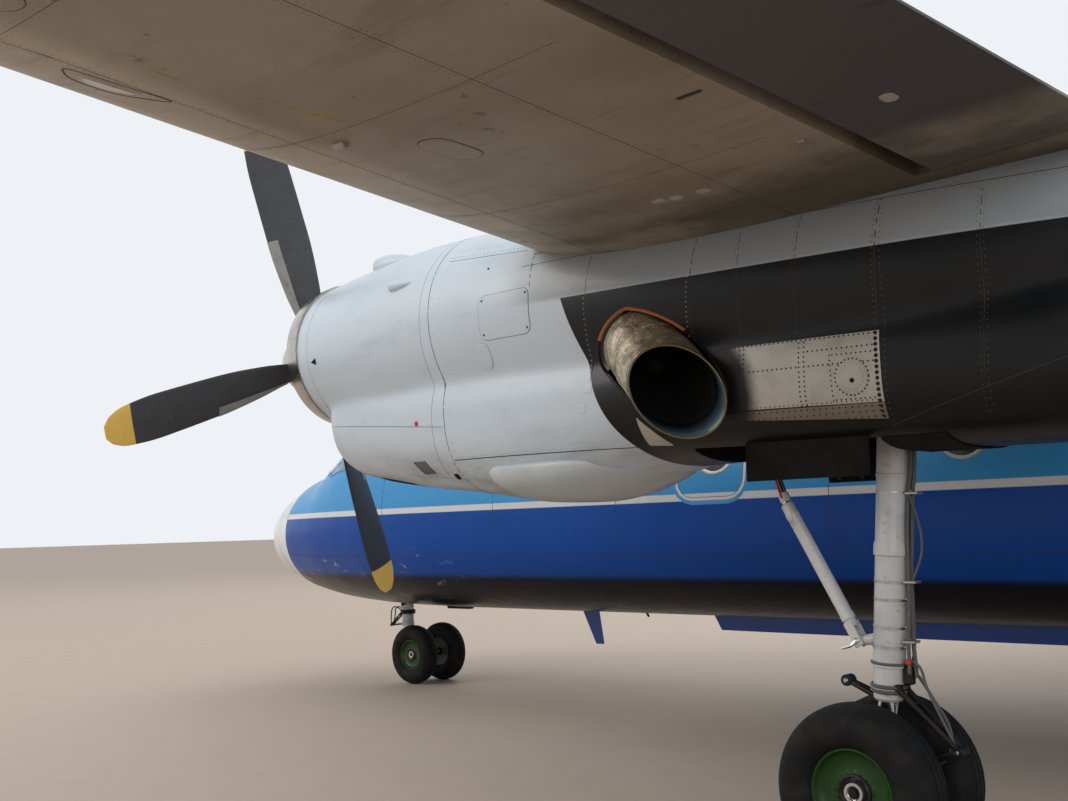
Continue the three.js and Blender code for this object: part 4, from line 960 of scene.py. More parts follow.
def smooth_rows(table, stations):
    """The table's columns on smooth curves that never overshoot their rows."""
    table = np.array(table, float)
    x = table[:, 0]
    values = table[:, 1:]
    gaps = np.diff(x)[:, None]
    slopes = np.diff(values, axis=0) / gaps
    rates = np.zeros_like(values)
    same = slopes[:-1] * slopes[1:] > 0
    mean = 2 * slopes[:-1] * slopes[1:] / np.where(same, slopes[:-1] + slopes[1:], 1.0)
    rates[1:-1] = np.where(same, mean, 0.0)
    rates[0], rates[-1] = slopes[0], slopes[-1]
    stations = np.clip(np.asarray(stations, float), x[0], x[-1])
    i = np.clip(np.searchsorted(x, stations) - 1, 0, len(x) - 2)
    t = ((stations - x[i]) / (x[i + 1] - x[i]))[:, None]
    gap = gaps[i]
    return (values[i] * (1 + 2 * t) * (1 - t) ** 2 + values[i + 1] * t ** 2 * (3 - 2 * t)
            + gap * rates[i] * t * (1 - t) ** 2 + gap * rates[i + 1] * t ** 2 * (t - 1))


def underside(row, x):
    """Height of a body's underside; the row is half width, top, bottom, widest height and squareness."""
    width, _, bottom, middle, square = row
    return middle - (middle - bottom) * (1 - (np.abs(x) / width) ** square) ** (1 / square)


def body_grid(table, stations, degrees):
    rows = smooth_rows(table, stations)
    angle = np.radians(degrees)[None, :]
    cos, sin = np.cos(angle), np.sin(angle)
    width, top, bottom, middle, square = (rows[:, k:k + 1] for k in range(5))
    power = np.where(sin < 0, 2 / square, 1.0)
    x = np.sign(cos) * np.abs(cos) ** power * width
    reach = np.where(sin < 0, middle - bottom, top - middle)
    z = middle + np.sign(sin) * np.abs(sin) ** power * reach
    y = np.repeat(at(np.asarray(stations, float))[:, None], len(degrees), 1)
    return np.stack([x, y, z], -1)


class Body(Skin):
    """A body's skin: rows are stations, columns are degrees from -90 at the bottom, through 0 on the left."""

    def where(self, stations, heights):
        stations = np.asarray(stations, float)
        heights = np.asarray(heights, float)
        half = self.columns <= 90.01
        half &= self.columns >= -90.01
        degrees = self.columns[half]
        i = np.clip(np.searchsorted(self.rows, stations) - 1, 0, len(self.rows) - 2)
        t = (stations - self.rows[i]) / (self.rows[i + 1] - self.rows[i])
        found = []
        for low, part, height in zip(i, t, heights):
            ring = self.points[low, half, 2] * (1 - part) + self.points[low + 1, half, 2] * part
            found.append(np.interp(height, ring, degrees))
        return stations, np.array(found)


def ray_reach(rows, middle, degrees):
    """How far a superellipse reaches from the point at the middle height, in each direction."""
    width, top, bottom, widest, square = (rows[:, k:k + 1] for k in range(5))
    angle = np.radians(degrees)[None, :]
    low = np.zeros((len(rows), len(degrees)))
    high = np.full_like(low, 2.0)
    for _ in range(34):
        reach = (low + high) / 2
        x = np.abs(reach * np.cos(angle)) / width
        z = middle[:, None] + reach * np.sin(angle) - widest
        n = np.where(z < 0, square, 2.0)
        inside = x ** n + np.abs(z / np.where(z < 0, widest - bottom, top - widest)) ** n < 1
        low, high = np.where(inside, reach, low), np.where(inside, high, reach)
    return low


def nacelle_grid(stations, degrees):
    """Both lobes as one skin, with a soft hollow where they meet."""
    stations = np.asarray(stations, float)
    upper, lower = smooth_rows(UPPER_LOBE, stations), smooth_rows(LOWER_LOBE, stations)
    middle = (np.maximum(upper[:, 2], lower[:, 2]) + np.minimum(upper[:, 1], lower[:, 1])) / 2
    a = ray_reach(upper, middle, degrees)
    b = ray_reach(lower, middle, degrees)
    b = b * np.clip((stations[:, None] - 6.2) / 0.35, 0.2, 1) ** 0.5
    reach = (a + b + np.sqrt((a - b) ** 2 + 0.05 ** 2)) / 2 - 0.012
    angle = np.radians(degrees)[None, :]
    y = np.repeat(at(stations)[:, None], len(degrees), 1)
    return np.stack([ENGINE_X + reach * np.cos(angle), y, middle[:, None] + reach * np.sin(angle)], -1)


DEGREES = np.linspace(-180, 180, 145)
BODY_STATIONS = np.unique(np.round(np.concatenate([
    np.linspace(0, 0.06, 5), np.linspace(0.06, 1.2, 20), np.linspace(1.2, 5, 40),
    np.linspace(5, 14.6, 60), np.linspace(14.6, 23.53, 80)]), 4))
NACELLE_STATIONS = np.unique(np.concatenate([np.linspace(6.4, 7.0, 16), np.linspace(7.0, 14.0, 110)]))

fuselage_skin = Body(BODY_STATIONS, DEGREES, body_grid(FUSELAGE, BODY_STATIONS, DEGREES))
nacelle_skin = Body(NACELLE_STATIONS, DEGREES, nacelle_grid(NACELLE_STATIONS, DEGREES))


def closed_part(skin, first, last):
    """The closed solid between two stations of a body."""
    rows = np.concatenate([[first], skin.rows[(skin.rows > first) & (skin.rows < last)], [last]])
    columns = skin.columns[:-1]
    grid = skin.at(rows[:, None] + 0 * columns, columns + 0 * rows[:, None])
    return Shape().grid(grid, 0, wrap=True, caps=True)


# Fuselage

RADOME_END = 1.2
JOINT_GAP = 0.003
JOINT_HALF = 0.002
WINDOW_HEIGHT = 2.38
WINDOW_RADIUS = 0.185
WINDOW_PITCH = 1.07
WINDOW_STATIONS = [10.09 + WINDOW_PITCH * k for k in range(-4, 6)]
WINDOW_DEPTH = 0.05
BODY_END = 23.53
# Middle as (station, height), and size across, along and up
NOSE_WELL = {"middle": (2.93, 1.0), "size": (0.52, 1.7, 0.6)}


def carve(name, tools):
    """Cuts closed tool shapes out of a piece."""
    target = bpy.data.objects[name]
    mesh = bpy.data.meshes.new("tool")
    mesh.from_pydata(tools.points, [], tools.faces)
    work = bmesh.new()
    work.from_mesh(mesh)
    bmesh.ops.remove_doubles(work, verts=work.verts, dist=1e-5)
    bmesh.ops.recalc_face_normals(work, faces=work.faces)
    work.to_mesh(mesh)
    work.free()
    for material in target.data.materials:
        mesh.materials.append(material)
    last = len(target.data.materials) - 1
    mesh.polygons.foreach_set("material_index", [last] * len(mesh.polygons))
    tool = bpy.data.objects.new("tool", mesh)
    bpy.context.scene.collection.objects.link(tool)
    modifier = target.modifiers.new("carve", "BOOLEAN")
    modifier.object = tool
    modifier.operation = "DIFFERENCE"
    modifier.solver = "EXACT"
    evaluated = target.evaluated_get(bpy.context.evaluated_depsgraph_get())
    carved = bpy.data.meshes.new_from_object(evaluated)
    target.modifiers.clear()
    target.data = carved
    carved.set_sharp_from_angle(angle=SHARP_ANGLE)
    bpy.data.objects.remove(tool)


def well_shape(well, x):
    station, height = well["middle"]
    return block(Shape(), (x, at(station), height), well["size"], edge=0.02)


def make_fuselage():
    piece("fuselage_shell", closed_part(fuselage_skin, RADOME_END + JOINT_GAP, BODY_END),
          ["body", "curtain"], nodes=["fuselage"])
    tools = Shape()
    for side in (1, -1):
        for station in WINDOW_STATIONS:
            hole = Shape()
            row, column = fuselage_skin.where([station], [WINDOW_HEIGHT])
            point = fuselage_skin.at(row, column)[0]
            normal = fuselage_skin.normal(row, column)[0]
            start = point - normal * WINDOW_DEPTH
            profile = [(0, 0), (0, WINDOW_RADIUS), (0.12, WINDOW_RADIUS), (0.12, 0)]
            turned(hole, start, normal, profile, 40)
            tools.join(hole if side > 0 else hole.mirrored())
    tools.join(well_shape(NOSE_WELL, 0))
    carve("fuselage_shell", tools)
    piece("radome_shell", closed_part(fuselage_skin, 0.0, RADOME_END), ["radome"],
          nodes=["radome"])
    fairing_stations = np.linspace(FAIRING[0][0], FAIRING[-1][0], 90)
    fairing = Shape().grid(body_grid(FAIRING, fairing_stations, DEGREES[:-1]), 0, wrap=True, caps=True)
    piece("wing_fairing", fairing, ["sky"])


# Lifting surfaces

# columns: span, leading edge station, chord, leading edge height, thickness
WING = [
    (0, 8.78, 3.4, 3.6, 0.17), (4.6, 8.78, 3.4, 3.6, 0.17), (8, 9.392, 2.594, 3.6, 0.156),
    (14.25, 10.517, 1.112, 3.36, 0.13), (14.48, 10.62, 0.9, 3.352, 0.1), (14.6, 10.8, 0.56, 3.345, 0.05),
]
TAILPLANE = [
    (0.2, 19.98, 2.6, 3.01, 0.12), (4.33, 20.95, 1.3, 3.664, 0.11), (4.48, 21.08, 1.08, 3.688, 0.09),
    (4.54, 21.26, 0.76, 3.697, 0.05),
]
FIN = [
    (3.25, 19.25, 4.1, 0, 0.11), (8.08, 21.69, 1.62, 0, 0.1), (8.24, 21.82, 1.42, 0, 0.09),
    (8.32, 22.03, 1.05, 0, 0.05),
]
WING_INCIDENCE = math.radians(3.4)
CAMBER = 0.018
CAMBER_PEAK = 0.38


def half_thickness(c, thick):
    return 5 * thick * (0.2969 * np.sqrt(c) - 0.126 * c - 0.3516 * c ** 2 + 0.2843 * c ** 3 - 0.1015 * c ** 4)


def camber_line(c, camber):
    fore = (2 * CAMBER_PEAK * c - c ** 2) / CAMBER_PEAK ** 2
    aft = (1 - 2 * CAMBER_PEAK + 2 * CAMBER_PEAK * c - c ** 2) / (1 - CAMBER_PEAK) ** 2
    return camber * np.where(c < CAMBER_PEAK, fore, aft)


class Surface:
    """A wing, tailplane or fin: sections along its span."""

    def __init__(self, table, incidence=0.0, camber=0.0, upright=False):
        self.table = np.array(table, float)
        self.incidence, self.camber, self.upright = incidence, camber, upright

    def row(self, span):
        return [np.interp(span, self.table[:, 0], self.table[:, k]) for k in range(1, 5)]

    def skin(self, span, c, side):
        """Height of the upper (1) or lower (-1) skin over the chord line, in chords."""
        c = np.clip(c, 0, 1)
        return camber_line(c, self.camber) + side * half_thickness(c, self.row(span)[3])

    def place(self, span, c, t):
        edge, chord, rise, _ = self.row(span)
        span = np.asarray(span, float)
        if self.upright:
            return np.stack(np.broadcast_arrays(rise + chord * t, at(edge) + chord * c, span), -1)
        along = c * math.cos(self.incidence) + t * math.sin(self.incidence)
        up = t * math.cos(self.incidence) - c * math.sin(self.incidence)
        return np.stack(np.broadcast_arrays(span, at(edge) + chord * along, rise + chord * up), -1)

    def loft(self, first, last, outline, step=0.25, shape=None, paint=0):
        """A closed solid; outline(span) gives the section as arrays of chord part and height in chords."""
        breaks = [span for span in self.table[:, 0] if first < span < last]
        spans = [first]
        for end in [*breaks, last]:
            count = max(1, int(round((end - spans[-1]) / step)))
            spans += list(np.linspace(spans[-1], end, count + 1)[1:])
        rows = [self.place(span, *outline(span)) for span in spans]
        return (shape or Shape()).grid(np.array(rows), paint, wrap=True, caps=True)

    def side_skin(self, first, last, side, low=0.0):
        spans = np.unique(np.concatenate([np.linspace(first, last, 60),
                                          [s for s in self.table[:, 0] if first < s < last]]))
        parts = (1 - np.cos(np.linspace(0, math.pi, 61))) / 2
        parts = parts[parts >= low]
        grid = np.array([self.place(span, parts, self.skin(span, parts, side)) for span in spans])
        return WingSkin(self, spans, parts, grid, side)


class WingSkin(Skin):
    """One side of a lifting surface: rows are span, columns are parts of the chord."""

    def __init__(self, surface, rows, columns, points, side):
        super().__init__(rows, columns, points)
        self.surface = surface
        toward = self.normals[..., 0 if surface.upright else 2].mean() * side
        if toward < 0:
            self.normals = -self.normals

    def where(self, spans, stations):
        edge, chord, _, _ = self.surface.row(np.asarray(spans, float))
        run = chord * math.cos(self.surface.incidence)
        return np.asarray(spans, float), (np.asarray(stations, float) - edge) / run


wing = Surface(WING, WING_INCIDENCE, CAMBER)
tailplane = Surface(TAILPLANE)
fin = Surface(FIN, upright=True)


def section(surface, span, first=1.0, last=1.0, count=28):
    """From a part of the chord on the upper skin, round the nose, to a part on the lower skin."""
    start, end = math.acos(2 * first - 1), math.acos(2 * last - 1)
    upper = (1 + np.cos(np.linspace(start, math.pi, count))) / 2
    lower = (1 + np.cos(np.linspace(math.pi, end, count)[1:])) / 2
    return (np.concatenate([upper, lower]),
            np.concatenate([surface.skin(span, upper, 1), surface.skin(span, lower, -1)]))


# Flap and control surface shapes, in chords
FLAP_LOW_LIP = 0.757
FLAP_TOP_LIP = 0.865
FLAP_TOP_CURVE = [(0.858, -0.0095), (0.835, -0.0135), (0.805, -0.018), (0.78, -0.0265), (0.764, -0.04)]
COVE_CURVE = [(0.835, -0.004), (0.803, -0.0085), (0.772, -0.018), (0.752, -0.034)]
FLAPS = {"inner": (1.62, 3.255), "outer": (4.64, 8.88)}
AILERON = (8.96, 13.95)
WING_HINGE, TAIL_HINGE, RUDDER_HINGE = 0.74, 0.68, 0.7
ELEVATOR = (0.72, 4.3)
RUDDER = (3.42, 8.1)
BAY_MARGIN = 0.012
BAY_CLEARANCE = 0.008


def cove_section(span):
    c, t = section(wing, span, FLAP_TOP_LIP, FLAP_LOW_LIP)
    inner = [(part, float(wing.skin(span, part, 1)) + drop) for part, drop in COVE_CURVE[::-1]]
    lip = [(FLAP_TOP_LIP, float(wing.skin(span, FLAP_TOP_LIP, 1)) - 0.001)]
    extra = np.array([*inner, *lip])
    return np.concatenate([c, extra[:, 0]]), np.concatenate([t, extra[:, 1]])


def flap_section(span):
    first = FLAP_TOP_LIP + 0.006
    top = np.linspace(1, first, 8)
    curve = smooth_path([(part, float(wing.skin(span, part, 1)) + drop) for part, drop in FLAP_TOP_CURVE], 16)
    low = np.linspace(FLAP_LOW_LIP + 0.026, 1, 14)
    return (np.concatenate([top, curve[:, 0], low]),
            np.concatenate([wing.skin(span, top, 1), curve[:, 1], wing.skin(span, low, -1)]))


def hinge_circle(surface, span, hinge):
    top, low = surface.skin(span, hinge, 1), surface.skin(span, hinge, -1)
    return float((top + low) / 2), float((top - low) / 2)


def control_section(surface, hinge):
    def outline(span):
        height, radius = hinge_circle(surface, span, hinge)
        back = np.linspace(1, hinge + 0.01, 12)
        angles = np.radians(np.linspace(92, 268, 15))
        return (np.concatenate([back, hinge + radius * np.cos(angles), back[::-1]]),
                np.concatenate([surface.skin(span, back, 1), height + radius * np.sin(angles),
                                surface.skin(span, back[::-1], -1)]))
    return outline


def bay_section(surface, hinge, opening):
    def outline(span):
        height, radius = hinge_circle(surface, span, hinge)
        reach = radius + BAY_CLEARANCE / float(surface.row(span)[1])
        angles = np.radians(np.linspace(270 - opening, 90 + opening, 15))
        edge = hinge + reach * math.cos(angles[0])
        c, t = section(surface, span, edge, edge)
        return (np.concatenate([c, hinge + reach * np.cos(angles)]),
                np.concatenate([t, height + reach * np.sin(angles)]))
    return outline


def whole_section(surface):
    def outline(span):
        return section(surface, span)
    return outline


WING_JOINT = 4.9


def make_wing():
    inner, outer = FLAPS["inner"], FLAPS["outer"]
    zones = [
        ("centre", 0, inner[0] - BAY_MARGIN, whole_section(wing)),
        ("centre", inner[0] - BAY_MARGIN, inner[1] + BAY_MARGIN, cove_section),
        ("centre", inner[1] + BAY_MARGIN, outer[0] - BAY_MARGIN, whole_section(wing)),
        ("centre", outer[0] - BAY_MARGIN, WING_JOINT - JOINT_HALF, cove_section),
        ("outer", WING_JOINT + JOINT_HALF, outer[1] + BAY_MARGIN, cove_section),
        ("outer", outer[1] + BAY_MARGIN, AILERON[0] - BAY_MARGIN, whole_section(wing)),
        ("outer", AILERON[0] - BAY_MARGIN, AILERON[1] + BAY_MARGIN, bay_section(wing, WING_HINGE, 30)),
        ("outer", AILERON[1] + BAY_MARGIN, HALF_SPAN, whole_section(wing)),
    ]
    parts = {"centre": Shape(), "outer": Shape()}
    for part, first, last, outline in zones:
        wing.loft(first, last, outline, 0.2, parts[part])
    centre = parts["centre"]
    piece("wing_centre", Shape().join(centre).join(centre.mirrored()), ["wing"],
          nodes=["wing_centre_section"])
    pair("wing_outer_skin", parts["outer"], ["wing"], nodes=["wing_outer_{}"])
    for name, (first, last) in FLAPS.items():
        pair(f"flap_{name}_skin", wing.loft(first, last, flap_section, 0.2), ["flap"], f"flap_{name}_{{}}",
             [f"flap_{name}_{{}}"])
    pair("aileron_skin", wing.loft(*AILERON, control_section(wing, WING_HINGE), 0.2), ["wing"], "aileron_{}",
         ["aileron_{}"])


# columns: station, top height, half width at the foot
DORSAL = [(15.7, 3.36, 0.02), (16.6, 3.48, 0.04), (18, 3.7, 0.07), (19.0, 3.95, 0.095), (19.7, 4.15, 0.11),
          (20.4, 4.45, 0.13)]
DORSAL_FOOT = 3.3


def make_tail():
    zones = [
        (0.2, ELEVATOR[0] - 0.04, whole_section(tailplane)),
        (ELEVATOR[0] - 0.04, ELEVATOR[1] + 0.02, bay_section(tailplane, TAIL_HINGE, 34)),
        (ELEVATOR[1] + 0.02, 4.54, whole_section(tailplane)),
    ]
    stab = Shape()
    for first, last, outline in zones:
        tailplane.loft(first, last, outline, 0.2, stab)
    pair("tailplane_skin", stab, ["white"], nodes=["tailplane_{}"])
    pair("elevator_skin", tailplane.loft(*ELEVATOR, control_section(tailplane, TAIL_HINGE), 0.2), ["white"],
         "elevator_{}", ["elevator_{}"])
    post = Shape()
    for first, last, outline in [(3.25, 3.26, whole_section(fin)),
                                 (3.26, RUDDER[1] + 0.025, bay_section(fin, RUDDER_HINGE, 30)),
                                 (RUDDER[1] + 0.025, 8.32, whole_section(fin))]:
        fin.loft(first, last, outline, 0.2, post)
    rows = []
    for station, top, width in DORSAL:
        angles = np.radians(np.linspace(0, 180, 13))
        rows.append([(width * math.cos(a) * (1 - 0.55 * math.sin(a)), at(station),
                      DORSAL_FOOT + (top - DORSAL_FOOT) * math.sin(a) ** 0.7) for a in angles])
    post.grid(np.array(rows), 0, wrap=True, caps=True)
    piece("fin_skin", post, ["sky"], nodes=["fin"])
    piece("rudder_skin", fin.loft(*RUDDER, control_section(fin, RUDDER_HINGE), 0.2), ["royal"], "rudder",
          ["rudder"])


# Engines

NACELLE_START = 6.4
COWL_JOINT = 7.9
NACELLE_END = 14.0
# Middle as (station, height), and size across, along and up
MAIN_WELL = {"middle": (10.575, 2.2), "size": (0.83, 1.45, 0.6)}
MOUTH = {"station": 6.3, "radius": 0.47, "depth": 0.5}
INTAKE = {"front": 6.215, "back": 6.4, "outer": 0.555, "lip": 0.52, "inner": 0.455}


def make_nacelles():
    pair("cowling_skin", closed_part(nacelle_skin, NACELLE_START, COWL_JOINT - JOINT_HALF), ["cowl"],
         nodes=["cowling_{}"])
    pair("nacelle_skin", closed_part(nacelle_skin, COWL_JOINT + JOINT_HALF, NACELLE_END), ["nacelle", "soot"],
         nodes=["nacelle_{}"])
    for side in ("left", "right"):
        tools = Shape()
        exhaust_hole(tools)
        tools.join(well_shape(MAIN_WELL, ENGINE_X))
        carve(f"nacelle_skin_{side}", tools if side == "left" else tools.mirrored())
        front = Shape()
        radius, depth = MOUTH["radius"], MOUTH["depth"]
        profile = [(0, 0), (0, radius), (depth, radius), (depth, 0)]
        turned(front, (ENGINE_X, at(MOUTH["station"]), HUB.z), (0, 1, 0), profile, 64)
        carve(f"cowling_skin_{side}", front if side == "left" else front.mirrored())
    ring = Shape()
    front, back = at(INTAKE["front"]), at(INTAKE["back"])
    outer, lip, inner = INTAKE["outer"], INTAKE["lip"], INTAKE["inner"]
    profile = smooth_path([(back - front, outer), (0.12, outer - 0.006), (0.06, outer - 0.018),
                           (0.018, lip + 0.004), (0, (inner + lip) / 2), (0.018, inner + 0.014),
                           (0.07, inner + 0.001), (back - front, inner + 0.015)], 40)
    turned(ring, (ENGINE_X, front, HUB.z), (0, 1, 0), [tuple(p) for p in profile], 96, closed=True)
    pair("intake_lip", ring, ["polished"], nodes=["intake_ring_{}"])


# Exhaust

def exhaust_hole(shape):
    radius = EXHAUST_RADIUS + EXHAUST_ROOM
    start = EXHAUST_OUTLET - EXHAUST_ALONG * EXHAUST_LENGTH
    reach = EXHAUST_LENGTH + EXHAUST_REACH
    turned(shape, start, EXHAUST_ALONG, [(0, 0), (0, radius), (reach, radius), (reach, 0)], 64)


# Propellers
# columns: radius, chord, thickness, pitch in degrees
BLADE = [
    (0.15, 0.15, 0.11, 52), (0.33, 0.19, 0.08, 45), (0.6, 0.275, 0.05, 35), (1.0, 0.33, 0.034, 26),
    (1.5, 0.335, 0.022, 18), (1.78, 0.29, 0.016, 15), (1.9, 0.2, 0.012, 14), (1.95, 0.09, 0.009, 14),
]
FIRST_BLADE_ANGLE = -19.07
BLADE_STATION = 5.99
SPINNER_TIP = 5.56
SHAFT = (6.1, 6.42)
# columns: distance from the tip, radius
SPINNER = [(0, 0), (0.012, 0.06), (0.06, 0.125), (0.14, 0.19), (0.24, 0.24), (0.36, 0.272), (0.5, 0.284),
           (0.62, 0.284)]
# columns: distance along the blade, radius
BLADE_CUFF = [(0, 0.0), (0, 0.085), (0.05, 0.088), (0.06, 0.1), (0.085, 0.1), (0.095, 0.085), (0.12, 0.08),
              (0.12, 0.0)]


def blade_rows(radii, parts, grow=0.0):
    """Blade points: parts are (place across the chord, side of the blade)."""
    table = np.array(BLADE, float)
    values = smooth_rows(table, radii)
    rows = []
    for radius, (chord, thick, pitch) in zip(radii, values):
        turn = math.radians(pitch)
        ring = []
        for across, side in parts:
            bulge = math.sqrt(max(0.0, 1 - (2 * across) ** 2)) * (0.55 if side > 0 else 0.4)
            t = side * (bulge * thick + grow)
            c = across * (chord + 2 * grow)
            ring.append((c * math.cos(turn) + t * math.sin(turn),
                         -c * math.sin(turn) + t * math.cos(turn), radius))
        rows.append(ring)
    return np.array(rows)


def make_propellers():
    around = [(0.5 * math.cos(math.radians(a)), 1 if a < 180 else -1) for a in range(0, 360, 15)]
    radii = np.concatenate([np.linspace(0.15, 1.78, 34), np.linspace(1.8, 1.95, 12)])
    boot_radii = np.linspace(0.36, 1.02, 14)
    for side, sign in (("left", 1), ("right", -1)):
        blades = Shape()
        hub = Shape()
        for k in range(4):
            angle = math.radians(90 - FIRST_BLADE_ANGLE - 90 * k)
            turn = Matrix.Rotation(angle, 4, "Y")
            place = Matrix.Translation((sign * ENGINE_X, at(BLADE_STATION), HUB.z)) @ turn
            one = Shape().grid(blade_rows(radii, around), 0, wrap=True, caps=True)
            front = [(0.5 * math.cos(math.radians(a)), 1 if a < 180 else -1) for a in range(-60, 61, 12)]
            strip = Shape().grid(blade_rows(boot_radii, front, 0.003), 1)
            blades.join(one.moved(place)).join(strip.moved(place))
            cuff = Shape()
            turned(cuff, (0, 0, 0.16), (0, 0, 1), BLADE_CUFF, 28)
            hub.join(cuff.moved(place))
        spinner = [(max(a, 0.0), max(b, 0.0)) for a, b in smooth_path(SPINNER, 40)]
        turned(hub, (sign * ENGINE_X, at(SPINNER_TIP), HUB.z), (0, 1, 0),
               [*spinner, (0.63, 0.27), (0.63, 0)], 64)
        start, end = (Vector((sign * ENGINE_X, at(station), HUB.z)) for station in SHAFT)
        rod(hub, start, end, 0.09, 1)
        piece(f"propeller_blades_{side}", blades, ["blade", "boot"], f"propeller_{side}",
              [f"propeller_{side}"])
        piece(f"propeller_hub_{side}", hub, ["polished", "steel"], f"propeller_{side}")


# Wheels

MAIN_TYRE = {"radius": 0.435, "width": 0.29, "rim": 0.215, "offset": 0.215}
NOSE_TYRE = {"radius": 0.34, "width": 0.215, "rim": 0.165, "offset": 0.225}


def tyre_profile(size):
    """Half section of a tyre from the rim outwards, with tread grooves: (across, radius)."""
    radius, half, rim = size["radius"], size["width"] / 2, size["rim"]
    side = smooth_path([(0.55 * half, rim), (0.8 * half, rim + 0.022),
                        (0.97 * half, rim + (radius - rim) * 0.3), (half, rim + (radius - rim) * 0.50),
                        (0.93 * half, rim + (radius - rim) * 0.70), (0.76 * half, radius * 0.925),
                        (0.56 * half, radius * 0.967), (0.42 * half, radius * 0.983)], 22)
    tread = []
    groove = 0.007
    for centre in (0.30, 0.0):
        reach = radius - 0.004 * (centre > 0)
        tread += [(centre * half + groove, reach), (centre * half + groove * 0.6, reach - 0.008),
                  (centre * half - groove * 0.6, reach - 0.008), (centre * half - groove, reach)]
    outer = [*map(tuple, side), *tread]
    mirror = [(-a, r) for a, r in outer if a > groove * 1.01][::-1]
    return [*outer, *mirror]


def make_wheels(name, size, axle, bodies, nodes):
    """A pair of tyres and their wheels on one axle."""
    tyres = {}
    for side in (1, -1):
        shape = Shape()
        turned(shape, (axle.x + side * size["offset"], axle.y, axle.z), (1, 0, 0), tyre_profile(size), 96,
               closed=True)
        tyres[side] = shape
    hub = Shape()
    rim, half = size["rim"], size["width"] / 2
    scale = rim / 0.215
    for side in (1, -1):
        centre = Vector((axle.x + side * size["offset"], axle.y, axle.z))
        out = Vector((side, 0, 0))
        dish = [
            (-0.55 * half, 0.05), (-0.55 * half, rim - 0.02), (-0.6 * half, rim - 0.004),
            (-0.5 * half, rim + 0.008), (0.5 * half, rim + 0.006), (0.60 * half, rim + 0.012),
            (0.66 * half, rim + 0.006), (0.66 * half, rim - 0.004), (0.60 * half, rim - 0.010),
            (0.50 * half, rim - 0.016), (0.40 * half, rim - 0.035 * scale), (0.34 * half, rim * 0.72),
            (0.33 * half, rim * 0.55), (0.36 * half, rim * 0.42),
        ]
        turned(hub, centre, out, dish, 64, 0)
        cap = [
            (0.36 * half, rim * 0.42), (0.42 * half, rim * 0.41), (0.44 * half, rim * 0.38),
            (0.40 * half, rim * 0.33), (0.34 * half, rim * 0.27),
        ]
        turned(hub, centre, out, cap, 48, 1)
        nut = [
            (0.34 * half, rim * 0.27), (0.46 * half, rim * 0.26), (0.52 * half, rim * 0.235),
            (0.52 * half, rim * 0.17), (0.46 * half, rim * 0.15),
        ]
        turned(hub, centre, out, nut, 48, 3)
        plug = [
            (0.46 * half, rim * 0.15), (0.46 * half, rim * 0.10), (0.54 * half, rim * 0.09),
            (0.55 * half, 0),
        ]
        turned(hub, centre, out, plug, 24, 1)
    rod(hub, axle - Vector((size["offset"], 0, 0)), axle + Vector((size["offset"], 0, 0)), 0.046 * scale, 3)
    piece(f"{name}_tyre_a", tyres[1], ["rubber"], bodies, [nodes[0]])
    piece(f"{name}_tyre_b", tyres[-1], ["rubber"], bodies, [nodes[1]])
    piece(f"{name}_hubs", hub, ["wheel", "dark", "steel", "chrome"], bodies, [nodes[2]])


# Fuselage details

# Cockpit windows: corners as (station, degrees round the body), front middle to rear
COCKPIT_PANES = [
    [(1.86, 87.5), (1.93, 52), (2.42, 57), (2.52, 87.5)],
    [(1.97, 47), (2.19, 33), (2.63, 35), (2.50, 53)], [(2.28, 29.5), (2.81, 27), (2.85, 47), (2.70, 50)],
    [(2.92, 27), (3.13, 27.5), (3.05, 41), (2.94, 44)],
]
DEGREE_LENGTH = 0.024
# Seams round the body by station; lap seams by first and last station and degrees round the body
RING_SEAMS = [3.62, 5.35, 6.9, 9.02, 11.2, 13.3, 15.75, 17.5, 19.2, 21.0]
LAP_SEAMS = [(3.6, 15.7, 38), (1.3, 19.2, -18), (3.6, 17.5, -52), (5.35, 15.7, -74)]
# columns: first and last station, low and high edge, corner radius
EXIT_OUTLINE = (7.58, 8.24, 2.0, 2.82, 0.15)
PASSENGER_DOOR = (16.25, 17.0, 1.48, 2.88, 0.12)
BAGGAGE_DOOR = (4.7, 5.9, 1.33, 2.43, 0.08)


def make_cockpit():
    panes, frames = Shape(), Shape()
    scale = (1.0, DEGREE_LENGTH)
    for corners in COCKPIT_PANES:
        outline = soft_corners(corners, scale, 0.05)
        plate(panes, fuselage_skin, outline, 0.003, 0, direct=True, rings=5)
        rim(frames, fuselage_skin, outline, 0.022, 0.006, 0, direct=True)
        rim(frames, fuselage_skin, grown(fuselage_skin, outline, 0.022), 0.006, 0.002, 1, direct=True)
        studs(frames, fuselage_skin, grown(fuselage_skin, outline, 0.014), 0.05, 0.004, 0.0072, 2,
              direct=True)
    pair("cockpit_panes", panes, ["glass"], nodes=["cockpit_glazing"])
    pair("cockpit_frames", frames, ["body", "seam", "steel"])
    wipers = Shape()
    for degrees in (60, 80):
        arm = ((1.80, degrees), (2.0, degrees - 1), (2.3, degrees + 3))
        blade = ((1.98, degrees - 6), (2.2, degrees), (2.4, degrees + 5))
        for path, lift, radius in ((arm, 0.02, 0.006), (blade, 0.011, 0.004)):
            tube(wipers, [fuselage_skin.at([s], [d], [lift])[0] for s, d in path], radius, 0, 6, 10)
    pair("wipers", wipers, ["dark"])


